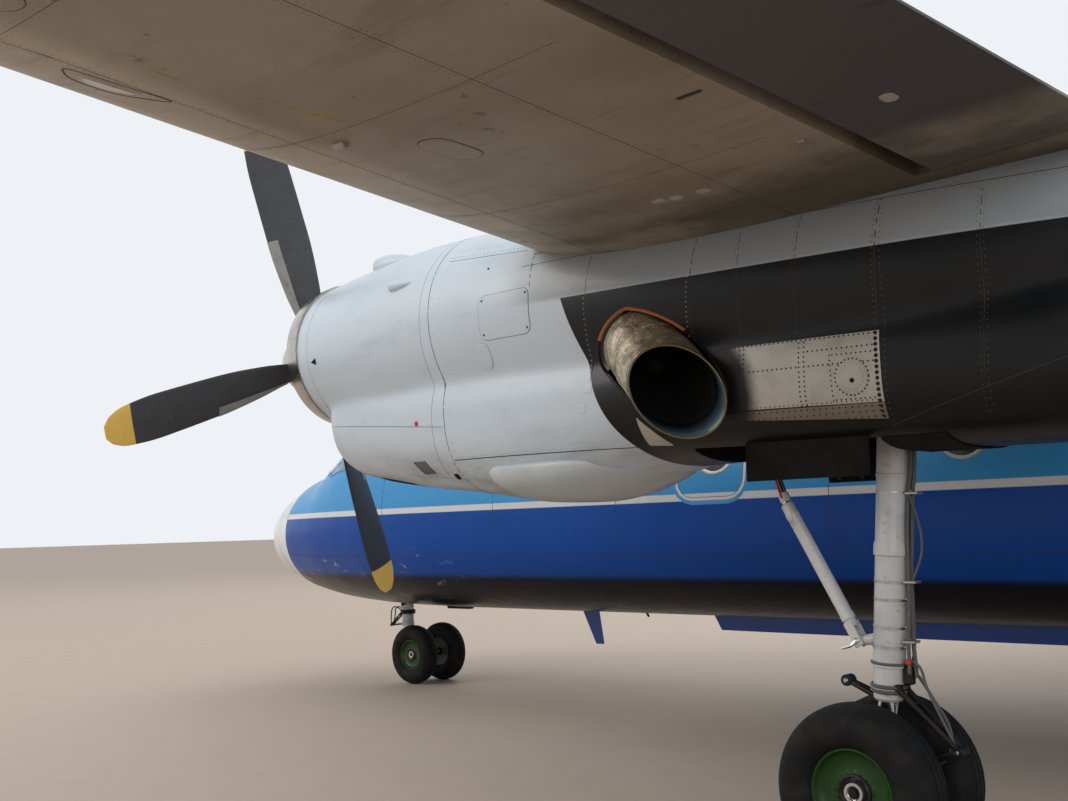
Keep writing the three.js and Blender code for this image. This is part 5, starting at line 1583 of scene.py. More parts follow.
def make_fuselage_lines():
    lines, rivets = Shape(), Shape()
    around = np.linspace(-89, 89, 60)
    for station in RING_SEAMS:
        seam(lines, fuselage_skin, [(station, a) for a in around], 0.006, 0.0006, 0, 0.08, direct=True)
        for offset in (-0.025, 0.025):
            studs(rivets, fuselage_skin, [(station + offset, a) for a in around], 0.045, 0.0035, 0.0008, 0,
                  True)
    for first, last, degrees in LAP_SEAMS:
        seam(lines, fuselage_skin, [(first, degrees), (last, degrees)], 0.006, 0.0006, 0, 0.1, direct=True)
        studs(rivets, fuselage_skin, [(first, degrees - 1), (last, degrees - 1)], 0.045, 0.0035, 0.0008, 0,
              True)
    seam(lines, fuselage_skin, [(RADOME_END, a) for a in around], 0.008, 0.0008, 0, 0.06, direct=True)
    studs(rivets, fuselage_skin, [(RADOME_END - 0.03, a) for a in around], 0.09, 0.008, 0.0015, 1, True)
    pair("body_seams", lines, ["seam"])
    pair("body_rivets", rivets, ["body", "steel"])


def door_shape(outline, window):
    low_s, high_s, low_z, high_z, _ = outline
    corners = rounded(*outline)
    edge = outline_on(fuselage_skin, corners, False)
    shape = Shape()
    plate(shape, fuselage_skin, corners, 0.004, 0, rings=8)
    rim(shape, fuselage_skin, corners, 0.007, 0.0012, 1)
    rim(shape, fuselage_skin, grown(fuselage_skin, edge, 0.05), 0.003, 0.001, 1, direct=True)
    middle = (low_s + high_s) / 2
    plate(shape, fuselage_skin, rounded(middle - 0.09, middle + 0.09, low_z + 0.62, low_z + 0.66, 0.018),
          0.014, 2)
    plate(shape, fuselage_skin, rounded(middle - 0.13, middle + 0.13, low_z + 0.58, low_z + 0.70, 0.03),
          0.0055, 0)
    for height in (low_z + 0.22, high_z - 0.22):
        plate(shape, fuselage_skin, rounded(low_s - 0.035, low_s + 0.05, height - 0.02, height + 0.02, 0.015),
              0.01, 2)
    if window:
        place = (middle, WINDOW_HEIGHT)
        disc_on(shape, fuselage_skin, place, [(0.15, 0.004), (0.15, 0.008), (0.135, 0.008), (0.13, 0.005)],
                40, 2)
        disc_on(shape, fuselage_skin, place, [(0.131, 0.0045), (0.07, 0.0055), (0.0, 0.0055)], 40, 3)
    studs(shape, fuselage_skin, grown(fuselage_skin, edge, -0.03), 0.045, 0.004, 0.0055, 0, True)
    return shape


def make_doors():
    paints = ["body", "seam", "steel", "glass"]
    piece("passenger_door_skin", door_shape(PASSENGER_DOOR, True), paints,
          nodes=["passenger_door"])
    piece("baggage_door_skin", door_shape(BAGGAGE_DOOR, False).mirrored(), paints,
          nodes=["baggage_door"])
    exit_marks = Shape()
    outline = rounded(*EXIT_OUTLINE)
    rim(exit_marks, fuselage_skin, outline, 0.024, 0.0010, 0)
    edge = outline_on(fuselage_skin, outline, False)
    rim(exit_marks, fuselage_skin, grown(fuselage_skin, edge, 0.024), 0.03, 0.0008, 1, True)
    rim(exit_marks, fuselage_skin, grown(fuselage_skin, edge, -0.004), 0.004, 0.0014, 2, True)
    pair("exit_outline", exit_marks, ["white", "sky", "seam"])


# columns: radius, lift over the skin
WINDOW_FRAME = [(WINDOW_RADIUS - 0.014, -0.03), (WINDOW_RADIUS - 0.014, 0.003),
                (WINDOW_RADIUS - 0.006, 0.005), (WINDOW_RADIUS + 0.012, 0.004),
                (WINDOW_RADIUS + 0.016, -0.002)]
WINDOW_PANE = [(WINDOW_RADIUS - 0.013, -0.024), (WINDOW_RADIUS - 0.013, -0.012), (0.13, -0.009),
               (0.07, -0.007), (0.0, -0.0065)]


def make_windows():
    for side, stations in (("left", WINDOW_STATIONS), ("right", WINDOW_STATIONS[1:])):
        frames, panes = Shape(), Shape()
        for station in stations:
            place = (station, WINDOW_HEIGHT)
            disc_on(frames, fuselage_skin, place, WINDOW_FRAME, 48, 0)
            disc_on(panes, fuselage_skin, place, WINDOW_PANE, 48, 0)
            for edge in (-1, 1):
                panes.grid(curtain(station, edge), 1)
        if side == "right":
            frames, panes = frames.mirrored(), panes.mirrored()
        piece(f"window_frames_{side}", frames, ["bare"])
        piece(f"window_panes_{side}", panes, ["clear", "curtain"])


def curtain(station, edge):
    """A gathered curtain behind one side of a window."""
    across = np.linspace(0.055, WINDOW_RADIUS, 14) * edge
    rows = []
    for height in np.linspace(-WINDOW_RADIUS, WINDOW_RADIUS, 9):
        points = []
        for k, offset in enumerate(across):
            pinch = 1 - 0.25 * math.cos(height * 9) * (1 - abs(offset) / WINDOW_RADIUS)
            stations, degrees = fuselage_skin.where([station + offset * pinch], [WINDOW_HEIGHT + height])
            depth = -0.036 - 0.006 * (k % 2)
            points.append(fuselage_skin.at(stations, degrees, [depth])[0])
        rows.append(points)
    return np.array(rows)


def blade_on(shape, root, tip, foot, end, half_width, paint=0, x=0.0):
    """A blade aerial or keel: root and tip give its first and last station, with rounded edges."""
    rows = []
    for part in np.linspace(0, 1, 7):
        low, high = (root[k] + (tip[k] - root[k]) * part for k in (0, 1))
        angles = np.linspace(0, 2 * math.pi, 28, endpoint=False)
        width = half_width * (1 - 0.35 * part)
        middle, reach = (low + high) / 2, (high - low) / 2
        height = foot + (end - foot) * part
        rows.append([(x + width * math.copysign(abs(math.sin(a)) ** 0.8, math.sin(a)),
                      at(middle - reach * math.copysign(abs(math.cos(a)) ** 0.75, math.cos(a))), height)
                      for a in angles])
    return shape.grid(np.array(rows), paint, wrap=True, caps=True)


BELLY_AERIALS = [6.05, 7.25, 12.3]
# columns: first and last station at the foot, the same at the end, foot and end heights, half width
KEEL = ((6.85, 11.6), (6.98, 11.3), 0.985, 0.76, 0.06)
BELLY_BLADE = ((5.2, 5.44), (5.39, 5.5), 0.94, 0.56, 0.014)
ROOF_BLADES = [((5.6, 5.9), (5.79, 5.9), 3.38, 3.7, 0.012),
               ((14.9, 15.18), (15.07, 15.18), 3.38, 3.68, 0.012)]
# columns: station, height
VENTRAL_FIN = [(17.6, 1.5), (19.7, 1.38), (21.0, 1.85), (21.1, 2.5), (18.2, 2.2)]


def make_belly_and_roof():
    keel = Shape()
    blade_on(keel, *KEEL)
    piece("keel", keel, ["royal"], nodes=["belly_strake"])
    aerials = Shape()
    blade_on(aerials, *BELLY_BLADE)
    piece("belly_aerial", aerials, ["royal"], nodes=["belly_antenna"])
    roof = Shape()
    for row in ROOF_BLADES:
        blade_on(roof, *row)
    beacon = [(0, 0.07), (0.03, 0.07), (0.035, 0.055), (0.1, 0.05), (0.13, 0.03), (0.14, 0)]
    turned(roof, (0, at(12.9), 3.38), (0, 0, 1), beacon, 24, 1)
    piece("roof_aerials", roof, ["sky", "red_lamp"])
    belly = Shape()
    beacon = [(0, 0.07), (0.03, 0.07), (0.035, 0.055), (0.09, 0.045), (0.11, 0.02), (0.115, 0)]
    turned(belly, (0, at(13.2), 0.935), (0, 0, -1), beacon, 24, 1)
    for station in BELLY_AERIALS:
        rod(belly, (0, at(station), 0.93), (0, at(station + 0.05), 0.86), 0.012, 0, 10)
    piece("belly_lamps", belly, ["dark", "red_lamp"])
    tail = Shape()
    turned(tail, (0, at(23.45), 3.015), (0, 1, 0), [(0, 0.045), (0.03, 0.045), (0.06, 0.035), (0.08, 0)], 20,
           0)
    piece("tail_lamp", tail, ["lamp"])
    ventral = Shape()
    extruded(ventral, [(at(station), height) for station, height in VENTRAL_FIN], 0, -0.028, 0.028, 0, 0.012)
    piece("ventral_fin_skin", ventral, ["body"], nodes=["ventral_fin"])


# Nacelle details, as (station, height) on the nacelle's outer side

BULGE = [
    [8.235, 0.30, 2.225, 2.12, 2.19, 2], [8.27, 0.44, 2.228, 2.04, 2.18, 2],
    [8.36, 0.50, 2.23, 1.975, 2.17, 2.1], [8.55, 0.545, 2.232, 1.945, 2.16, 2.3],
    [8.85, 0.555, 2.232, 1.938, 2.16, 2.2], [9.05, 0.52, 2.228, 1.958, 2.16, 2],
    [9.25, 0.42, 2.22, 2.01, 2.16, 2], [9.4, 0.30, 2.2, 2.06, 2.15, 2], [9.48, 0.18, 2.18, 2.1, 2.14, 2],
]
# columns: first point, last point, width of the line
NACELLE_SEAMS = [
    ((8.05, 2.235), (9.56, 2.223), 0.006), ((8.07, 3.53), (8.80, 3.47), 0.003),
    ((8.875, 3.46), (8.89, 3.22), 0.005), ((8.8, 3.36), (12.4, 3.27), 0.003),
    ((9.36, 3.40), (9.28, 2.56), 0.003), ((10.09, 3.34), (10.01, 2.70), 0.004),
    ((10.36, 3.3), (10.33, 2.72), 0.003), ((10.70, 3.3), (10.65, 2.72), 0.003),
    ((11.12, 3.3), (11.07, 2.70), 0.005), ((11.06, 2.22), (13.0, 2.75), 0.003),
    ((12.1, 3.3), (12.1, 2.3), 0.004), ((12.9, 3.3), (12.9, 2.72), 0.004),
    ((11.6, 3.25), (11.55, 2.25), 0.003),
]
COWL_SEAMS = [((6.56, 2.574), (8.0, 2.452), 0.003)]
RING_SEAM = 8.01
FRONT_SEAM = 6.54
# columns: first point, last point, spacing, rivet radius, paint
NACELLE_RIVETS = [
    ((8.08, 3.555), (8.80, 3.495), 0.035, 0.006, 0), ((9.345, 3.40), (9.27, 2.56), 0.03, 0.0045, 1),
    ((10.07, 3.34), (9.995, 2.78), 0.026, 0.005, 1), ((10.345, 3.3), (10.315, 2.72), 0.032, 0.004, 0),
    ((10.685, 3.3), (10.635, 2.72), 0.032, 0.004, 0), ((11.105, 3.3), (11.055, 2.70), 0.028, 0.005, 0),
    ((11.135, 3.3), (11.085, 2.25), 0.03, 0.0045, 0), ((11.585, 3.25), (11.535, 2.25), 0.032, 0.004, 0),
    ((11.615, 3.25), (11.565, 2.25), 0.032, 0.004, 0), ((8.1, 2.25), (9.5, 2.24), 0.045, 0.0035, 0),
    ((12.08, 3.3), (12.08, 2.32), 0.032, 0.004, 0), ((12.12, 3.3), (12.12, 2.34), 0.032, 0.004, 0),
    ((8.9, 3.345), (12.3, 3.255), 0.04, 0.0035, 0), ((8.085, 3.5), (8.085, 2.25), 0.05, 0.0035, 0),
]
BARE_TOP = [(10.02, 2.697), (11.076, 2.672), (11.071, 2.335), (10.02, 2.36)]
BARE_STRIP = [(10.02, 2.358), (11.071, 2.333), (11.067, 2.257), (10.10, 2.226)]
BARE_CORNER = [(9.594, 2.382), (9.591, 2.229), (9.755, 2.218)]
BARE_PATCH = (10.924, 2.465)
# columns: first point, last point, spacing, rivet radius
BARE_RIVETS = [
    ((10.20, 2.683), (11.05, 2.662), 0.026, 0.0052), ((10.36, 2.547), (10.63, 2.541), 0.026, 0.0052),
    ((10.70, 2.539), (11.04, 2.531), 0.026, 0.0052), ((10.70, 2.612), (11.04, 2.606), 0.026, 0.0052),
    ((10.305, 2.665), (10.292, 2.37), 0.025, 0.0052), ((10.332, 2.665), (10.319, 2.37), 0.025, 0.0052),
    ((10.652, 2.66), (10.637, 2.35), 0.025, 0.0052), ((10.680, 2.66), (10.665, 2.35), 0.025, 0.0052),
    ((11.058, 2.66), (11.050, 2.27), 0.027, 0.011), ((10.30, 2.365), (11.04, 2.347), 0.026, 0.004),
    ((10.32, 2.338), (11.04, 2.320), 0.035, 0.005), ((10.30, 2.305), (11.04, 2.298), 0.035, 0.005),
    ((10.32, 2.268), (11.04, 2.274), 0.035, 0.005), ((10.815, 2.58), (10.815, 2.36), 0.025, 0.0048),
    ((10.83, 2.58), (11.03, 2.576), 0.026, 0.0048), ((10.83, 2.362), (11.03, 2.358), 0.026, 0.0048),
]


NACELLE_ROUND = np.linspace(-178, 178, 120)


def square(station, height, width, tall, corner=0.01):
    return rounded(station - width / 2, station + width / 2, height - tall / 2, height + tall / 2, corner)


def make_nacelle_details():
    lines, rivets, panels = Shape(), Shape(), Shape()
    skin = nacelle_skin
    for first, last, width in NACELLE_SEAMS:
        seam(lines, skin, [first, last], width, 0.0007)
    for first, last, spacing, radius, paint in NACELLE_RIVETS:
        studs(rivets, skin, [first, last], spacing, radius, 0.0012, paint)
    ring = [(RING_SEAM - 0.04 * math.sin(math.radians(a)), a) for a in NACELLE_ROUND]
    seam(lines, skin, ring, 0.005, 0.0007, 0, 0.05, direct=True)
    studs(rivets, skin, [(station + 0.03, a) for station, a in ring], 0.06, 0.003, 0.001, 0, direct=True)
    access = rounded(8.46, 8.885, 2.945, 3.22, 0.05)
    plate(panels, skin, access, 0.003, 0)
    rim(panels, skin, access, 0.0025, 0.0008, 1)
    hatch = rounded(8.385, 8.505, 2.775, 2.935, 0.055)
    plate(panels, skin, hatch, 0.0025, 0)
    rim(panels, skin, hatch, 0.0016, 0.0006, 1)
    for spot in ((8.49, 3.19), (8.86, 3.19), (8.49, 2.98), (8.86, 2.98), (8.50, 3.40)):
        disc_on(panels, skin, spot, [(0.007, 0.002), (0.007, 0.005), (0.005, 0.006), (0.0, 0.006)], 12, 1)
    plate(panels, skin, square(8.905, 3.44, 0.085, 0.03, 0.014), 0.008, 2)
    for spot in ((9.224, 2.459), (9.273, 2.569)):
        plate(panels, skin, square(*spot, 0.055, 0.05), 0.002, 0)
    plate(panels, skin, square(7.98, 2.135, 0.05, 0.035), 0.002, 3)
    pair("nacelle_seams", lines, ["seam"])
    pair("nacelle_rivets", rivets, ["rivet", "bright"])
    pair("nacelle_panels", panels, ["nacelle", "seam", "bare", "soot"])


def panel_outline(corners):
    """A panel behind the exhaust: its front edge, the last two corners, follows the hole's rim."""
    low, high = sorted((corners[0][1], corners[-1][1]))
    rim_points = skin_edge(exhaust_ring(EXHAUST_RADIUS + EXHAUST_ROOM + 0.01, EXHAUST_LENGTH, False, 96))
    rear = [(station_of(p.y), p.z) for p in rim_points if station_of(p.y) > 9.95 and low < p.z < high]
    rear.sort(key=lambda place: place[1])
    corners = [np.array(corner) for corner in (rear[-1], *corners[1:-1], rear[0])]
    edges = [p + (q - p) * k / 12 for p, q in zip(corners, corners[1:]) for k in range(12)]
    return np.array([*edges, *rear[:-1]])


def make_bare_panel():
    skin = nacelle_skin
    sheet, rivets = Shape(), Shape()
    plate(sheet, skin, panel_outline(BARE_TOP), 0.003, 0)
    plate(sheet, skin, panel_outline(BARE_STRIP), 0.0035, 1)
    plate(sheet, skin, soft_corners(BARE_CORNER, radius=0.01), 0.003, 0)
    disc_on(sheet, skin, BARE_PATCH, [(0.082, 0.002), (0.082, 0.0055), (0.075, 0.006), (0.03, 0.006),
                                      (0, 0.006)], 40, 0)
    disc_on(sheet, skin, (10.925, 2.448), [(0.012, 0.006), (0.010, 0.010), (0, 0.010)], 10, 2)
    for first, last, spacing, radius in BARE_RIVETS:
        studs(rivets, skin, [first, last], spacing, radius, 0.005, foot=0.0035)
    for size in (0.088, 0.062):
        ring = [(BARE_PATCH[0] + size * math.cos(a), BARE_PATCH[1] + size * math.sin(a))
                for a in np.linspace(0, 6.2, 40)]
        studs(rivets, skin, ring, 0.021, 0.005, 0.0075, foot=0.003)
    pair("bare_panel", sheet, ["bare_sheet", "bare_strip", "soot"])
    pair("bare_panel_rivets", rivets, ["stud"])


# columns: sideways place, front and rear station, height, radius
SCOOPS = [(4.15, 6.95, 7.36, 3.725, 0.078), (4.54, 7.54, 7.75, 3.438, 0.04)]
# columns: distance from the mouth, in lengths, and radius, in radii
SCOOP_CURVE = [(0, 0.84), (0.03, 0.93), (0.12, 0.99), (0.28, 1.0), (0.55, 0.84), (0.85, 0.42), (1, 0)]


def make_cowl_details():
    skin = nacelle_skin
    lines, parts = Shape(), Shape()
    for first, last, width in COWL_SEAMS:
        seam(lines, skin, [first, last], width, 0.0007)
    seam(lines, skin, [(FRONT_SEAM, a) for a in NACELLE_ROUND], 0.002, 0.0007, 0, 0.05, direct=True)
    studs(lines, skin, [(FRONT_SEAM + 0.03, a) for a in NACELLE_ROUND], 0.05, 0.003, 0.001, 1, True)
    studs(lines, skin, [(6.6, 2.545), (7.98, 2.43)], 0.05, 0.0035, 0.001, 1)
    studs(lines, skin, [(7.12, 2.52), (7.16, 2.20)], 0.04, 0.0035, 0.001, 1)
    for k in range(5):
        low = 7.60 + 0.03 * k
        slat = [(low, 2.25), (low + 0.016, 2.25), (low + 0.061, 2.165), (low + 0.045, 2.165)]
        plate(parts, skin, soft_corners(slat, radius=0.003), 0.0025, 2)
    plate(parts, skin, square(7.735, 2.495, 0.028, 0.03, 0.006), 0.006, 1)
    plate(parts, skin, soft_corners([(6.95, 2.185), (7.3, 2.125), (7.3, 2.095), (6.95, 2.15)], (1, 1), 0.01),
          0.002, 2)
    plate(parts, skin, soft_corners([(6.585, 3.035), (6.655, 3.06), (6.655, 3.01)], radius=0.004), 0.002, 2)
    for x, mouth, tail, height, radius in SCOOPS:
        length = tail - mouth
        pod = [(a * length, max(b, 0) * radius) for a, b in smooth_path(SCOOP_CURVE, 24)]
        mouth_ring = [(0.35 * length, 0), (0.3 * length, radius * 0.6), (0.01 * length, radius * 0.7)]
        turned(parts, (x, at(mouth), height), (0, 1, 0), mouth_ring, 28, 2)
        turned(parts, (x, at(mouth), height), (0, 1, 0), [mouth_ring[-1], *pod], 28, 0)
    pair("cowl_seams", lines, ["seam", "rivet"])
    pair("cowl_parts", parts, ["cowl", "red", "soot", "bare"])


def make_intake_details():
    lip = Shape()
    front = [(0.0, 0.5555), (0.003, 0.5555), (0.003, 0.5535), (0.0, 0.5535)]
    turned(lip, (ENGINE_X, at(6.392), HUB.z), (0, 1, 0), front, 96, 0, closed=True)
    for k in range(36):
        angle = 2 * math.pi * k / 36
        out = Vector((math.cos(angle), 0, math.sin(angle)))
        turned(lip, Vector((ENGINE_X, at(6.375), HUB.z)) + out * 0.5535, out,
               [(0, 0.006), (0.0015, 0.005), (0.002, 0)], 8, 1)
    pair("intake_seam", lip, ["seam", "steel"])
    throat = Shape()
    turned(throat, (ENGINE_X, at(6.42), HUB.z), (0, 1, 0), [(0, 0.46), (0.02, 0.30), (0.0, 0.12)], 64, 0)
    middle = Vector((ENGINE_X, at(6.39), HUB.z))
    for k in range(8):
        angle = 2 * math.pi * (k + 0.3) / 8
        out = Vector((math.cos(angle), 0, math.sin(angle)))
        rod(throat, middle + out * 0.12, middle + out * 0.46, 0.02, 1, 10)
    pair("intake_throat", throat, ["dark", "steel"])


def make_bulge():
    bulge_stations = np.concatenate([np.linspace(8.235, 8.5, 14), np.linspace(8.52, 9.48, 26)])
    bulge = body_grid(BULGE, bulge_stations, DEGREES[:-1:2])
    bulge[..., 0] += ENGINE_X
    pair("lower_bulge", Shape().grid(bulge, 0, wrap=True, caps=True), ["bulge"])


# Stations of the closed doors behind the leg, and their half width
REAR_WELL = {"from": 10.965, "to": 11.296, "half": 0.412}
# The open doors beside the leg
DOOR_FRONT = 10.2
DOOR_BOTTOM = 1.997
DOOR_THICKNESS = 0.025
# columns: side of the leg, rear end
DOORS = [(-1, 10.62), (1, 10.905)]


def make_gear_doors():
    """The open doors beside the leg."""
    doors = Shape()
    for side, last in DOORS:
        outline = [
            (at(10.205), 2.3), (at(DOOR_FRONT), 2.0), (at(10.21), DOOR_BOTTOM),
            (at(last - 0.005), DOOR_BOTTOM), (at(last), 2.01), (at(last), 2.3),
        ]
        low = ENGINE_X + side * 0.4275 - 0.0125
        extruded(doors, outline, 0, low, low + DOOR_THICKNESS, 0, 0.006)
        for station in (10.28, 10.42, 10.56):
            block(doors, (ENGINE_X + side * 0.407, at(station), 2.12), (0.016, 0.03, 0.22), 1, 0.004)
    pair("main_gear_doors", doors, ["soot", "dark"])


def make_rear_well_doors():
    """The closed doors behind the leg."""
    stations = np.linspace(REAR_WELL["from"], REAR_WELL["to"], 10)
    x = np.linspace(-REAR_WELL["half"], REAR_WELL["half"], 31)
    rows = []
    for station, row in zip(stations, smooth_rows(LOWER_LOBE, stations)):
        z = underside(row, x)
        under = [(ENGINE_X + a, at(station), b) for a, b in zip(x, z)]
        rows.append(under + [(ENGINE_X + a, at(station), b + 0.012) for a, b in zip(x[::-1], z[::-1])])
    rear = Shape().grid(np.array(rows), 0, wrap=True, caps=True)
    block(rear, (ENGINE_X, at(11.15), 2.128), (0.006, 0.28, 0.03), 1, 0.001)
    pair("main_well_rear", rear, ["soot", "dark"])


def exhaust_ring(radius, back, slanted=True, sides=96):
    """A ring round the pipe's line: parallel to the slanted rim, or square to the pipe."""
    _, side, up = frame_of(EXHAUST_ALONG)
    ring = []
    for angle in np.linspace(0, 2 * math.pi, sides, endpoint=False):
        arm = radius * (math.cos(angle) * side + math.sin(angle) * up)
        shift = -arm.dot(EXHAUST_FACE) / EXHAUST_ALONG.dot(EXHAUST_FACE) if slanted else 0.0
        ring.append(EXHAUST_OUTLET + arm + EXHAUST_ALONG * (shift - back))
    return ring


def skin_edge(ring):
    """Where lines along the pipe, from a ring inside the nacelle, meet its skin."""
    points = []
    for start in ring:
        low, high = 0.0, 1.4
        for _ in range(22):
            middle = (low + high) / 2
            spot = start + EXHAUST_ALONG * middle
            row, column = nacelle_skin.where([station_of(spot.y)], [spot.z])
            if spot.x < nacelle_skin.at(row, column)[0][0]:
                low = middle
            else:
                high = middle
        points.append(start + EXHAUST_ALONG * low)
    return points


RIM_BEAD = 0.010
RIM_RUST_BOTTOM = 2.80


def make_exhausts():
    radius, inner = EXHAUST_RADIUS, EXHAUST_RADIUS - EXHAUST_WALL
    pipe = Shape()
    # columns: radius, distance back, whether the ring is slanted, paint of the stretch that follows
    rings = [
        (radius, EXHAUST_LENGTH - 0.001, False, 0), (radius, 0.41, False, 0),
        (radius + 0.004, 0.405, False, 0), (radius + 0.004, 0.385, False, 0), (radius, 0.38, False, 0),
        (radius, 0.30, False, 0), (radius, 0.04, True, 0), (radius + 0.001, 0.030, True, 1),
        (radius + 0.003, 0.027, True, 1), (radius + 0.001, 0.024, True, 0),
        (radius + 0.001, 0.010, True, 1), (radius + 0.003, 0.007, True, 1),
        (radius + 0.002, 0.001, True, 1), (radius - 0.002, 0.0, True, 1), (inner, 0.003, True, 2),
        (inner, 0.03, True, 2), (inner, 0.07, True, 2), (inner, 0.15, True, 3), (inner, 0.34, False, 3),
        (inner - 0.01, 0.54, False, 3), (0.12, 0.56, False, 3),
    ]
    for first, second in zip(rings, rings[1:]):
        rows = [exhaust_ring(*first[:3]), exhaust_ring(*second[:3])]
        pipe.grid(np.array(rows), first[3], wrap=True)
    start = EXHAUST_OUTLET - EXHAUST_ALONG * 0.56
    turned(pipe, start, EXHAUST_ALONG, [(0, 0.12), (0.12, 0.10), (0.26, 0.03), (0.28, 0)], 96, 3)
    base = EXHAUST_OUTLET - EXHAUST_ALONG * (EXHAUST_LENGTH - 0.001)
    turned(pipe, base, EXHAUST_ALONG, [(0, radius), (0, 0)], 96, 3)
    pair("exhaust", pipe, ["exhaust", "hot_lip", "tint", "soot"],
         nodes=["exhaust_pipe_{}"])
    rim_shape = Shape()
    edge = skin_edge(exhaust_ring(radius + EXHAUST_ROOM + 0.004, EXHAUST_LENGTH, False, 72))
    for first, second in zip(edge, edge[1:] + edge[:1]):
        upper = 0 if min(first.z, second.z) > RIM_RUST_BOTTOM else 1
        rod(rim_shape, first, second, RIM_BEAD, upper, 8, edge=0.0005)
    pair("exhaust_rim", rim_shape, ["rim", "dark"])


# Wing details

WING_RIBS = [5.6, 6.9, 8.2, 9.6, 11.0, 12.5, 14.1]
CENTRE_RIBS = [1.5, 2.4, 3.25]
# columns: place along the chord, width of the line
SPARS = [(0.19, 0.0016), (0.56, 0.002)]
# columns: first and last span, rivet spacing
SPAR_RIVETS = [(4.3, 9.5, 0.028), (9.5, 14.1, 0.06)]
# columns: span, station
WING_HATCHES = [(9.4, 10.3), (8.4, 10.25), (6.45, 10.2), (11.2, 10.55), (10.3, 10.5), (12.6, 10.75)]
WING_FILLERS = [(6.0, 10.0), (8.6, 10.3), (2.3, 10.0)]
WING_PATCHES = [(5.25, 10.36), (5.235, 10.45), (5.225, 10.6)]
# columns: first and last point of each scuff
WING_SCUFFS = [((7.72, 10.055), (7.60, 10.04)), ((7.36, 10.10), (7.02, 10.12)),
               ((7.06, 10.14), (6.93, 10.11)), ((7.12, 10.09), (6.94, 10.135)),
               ((7.30, 9.99), (7.27, 10.0))]


def make_wing_lines():
    for side, name in ((-1, "lower"), (1, "upper")):
        outer = wing.side_skin(0.0, 14.2, side)
        lines, rivets = Shape(), Shape()
        for part, width in SPARS:
            seam(lines, outer, [(0.5, part), (14.1, part)], width, 0.0006, 0, 0.1, direct=True)
            for row in (part - 0.008, part + 0.008):
                for first, last, spacing in SPAR_RIVETS:
                    studs(rivets, outer, [(first, row), (last, row)], spacing, 0.0042, 0.001, 0, True)
        for span in [*CENTRE_RIBS, *WING_RIBS]:
            last = 0.70 if side < 0 else 0.84
            if span > AILERON[0]:
                last = 0.66
            path = [(span, part) for part in np.linspace(0.03, last, 12)]
            seam(lines, outer, path, 0.0016, 0.0006, 0, 0.06, direct=True)
            for offset in (-0.02, 0.02):
                studs(rivets, outer, [(span + offset, part) for _, part in path], 0.04, 0.004, 0.001, 0, True)
        for span in (WING_JOINT - 0.04, WING_JOINT + 0.04):
            joint = [(span, part) for part in np.linspace(0.02, 0.72, 14)]
            studs(rivets, outer, joint, 0.035, 0.005, 0.0012, 0, True)
        pair(f"wing_seams_{name}", lines, ["seam"])
        pair(f"wing_rivets_{name}", rivets, ["rivet"])


def wick(shape, end, reach, drop=0.0):
    """A thin rod that trails from an edge."""
    rod(shape, end - Vector((0, 0.01, 0)), end + Vector((0, reach, -drop)), 0.003, 0, 6, 0.0015)


def make_wing_parts():
    lower = wing.side_skin(0.0, 14.5, -1)
    upper = wing.side_skin(0.0, 14.5, 1)
    parts = Shape()
    lamp = soft_corners([(7.60, 9.775), (7.70, 9.712), (7.80, 9.725), (7.835, 9.78)], (1, 1), 0.04)
    plate(parts, lower, lamp, 0.004, 1)
    rim(parts, lower, lamp, 0.02, 0.002, 2)
    big = soft_corners([(7.47, 9.81), (7.66, 9.68), (7.84, 9.70), (7.93, 9.82)], (1, 1), 0.06)
    rim(parts, lower, big, 0.006, 0.001, 3)
    plate(parts, lower, square(5.42, 11.245, 0.09, 0.036, 0.012), 0.012, 2)
    plate(parts, lower, square(6.2, 11.22, 0.022, 0.11, 0.008), 0.003, 3)
    plate(parts, lower, square(5.58, 11.70, 0.09, 0.06, 0.028), 0.003, 4)
    for k, (span, station) in enumerate(WING_PATCHES):
        plate(parts, lower, square(span, station, 0.05, 0.07, 0.02), 0.003 + 0.001 * k, 4)
    rod(parts, (6.79, at(9.86), 3.372), (6.79, at(9.93), 3.368), 0.02, 2, 14)
    for span, station in WING_HATCHES:
        outline = square(span, station, 0.3, 0.16, 0.075)
        plate(parts, lower, outline, 0.002, 0)
        rim(parts, lower, outline, 0.004, 0.001, 3)
        studs(parts, lower, grown(lower, outline_on(lower, outline, False), -0.02), 0.035, 0.004, 0.003, 5,
              True)
    for span, station in WING_FILLERS:
        disc_on(parts, upper, (span, station), [(0.07, 0), (0.07, 0.005), (0.06, 0.007), (0, 0.007)], 28, 2)
    pair("wing_parts", parts, ["wing", "lamp", "bare", "seam", "patch", "rivet"])


def make_wing_marks():
    lower = wing.side_skin(0.0, 14.5, -1)
    scuffs = Shape()
    for a, b in WING_SCUFFS:
        seam(scuffs, lower, [a, b], 0.008, 0.0007)
    pair("wing_scuffs", scuffs, ["scuff"])
    curve = [(5.62, 9.64), (5.55, 9.70), (5.47, 9.74), (5.38, 9.735), (5.28, 9.705)]
    marks = Shape()
    studs(marks, lower, curve, 0.022, 0.0045, 0.0012)
    pair("wing_patch_rivets", marks, ["seam"])


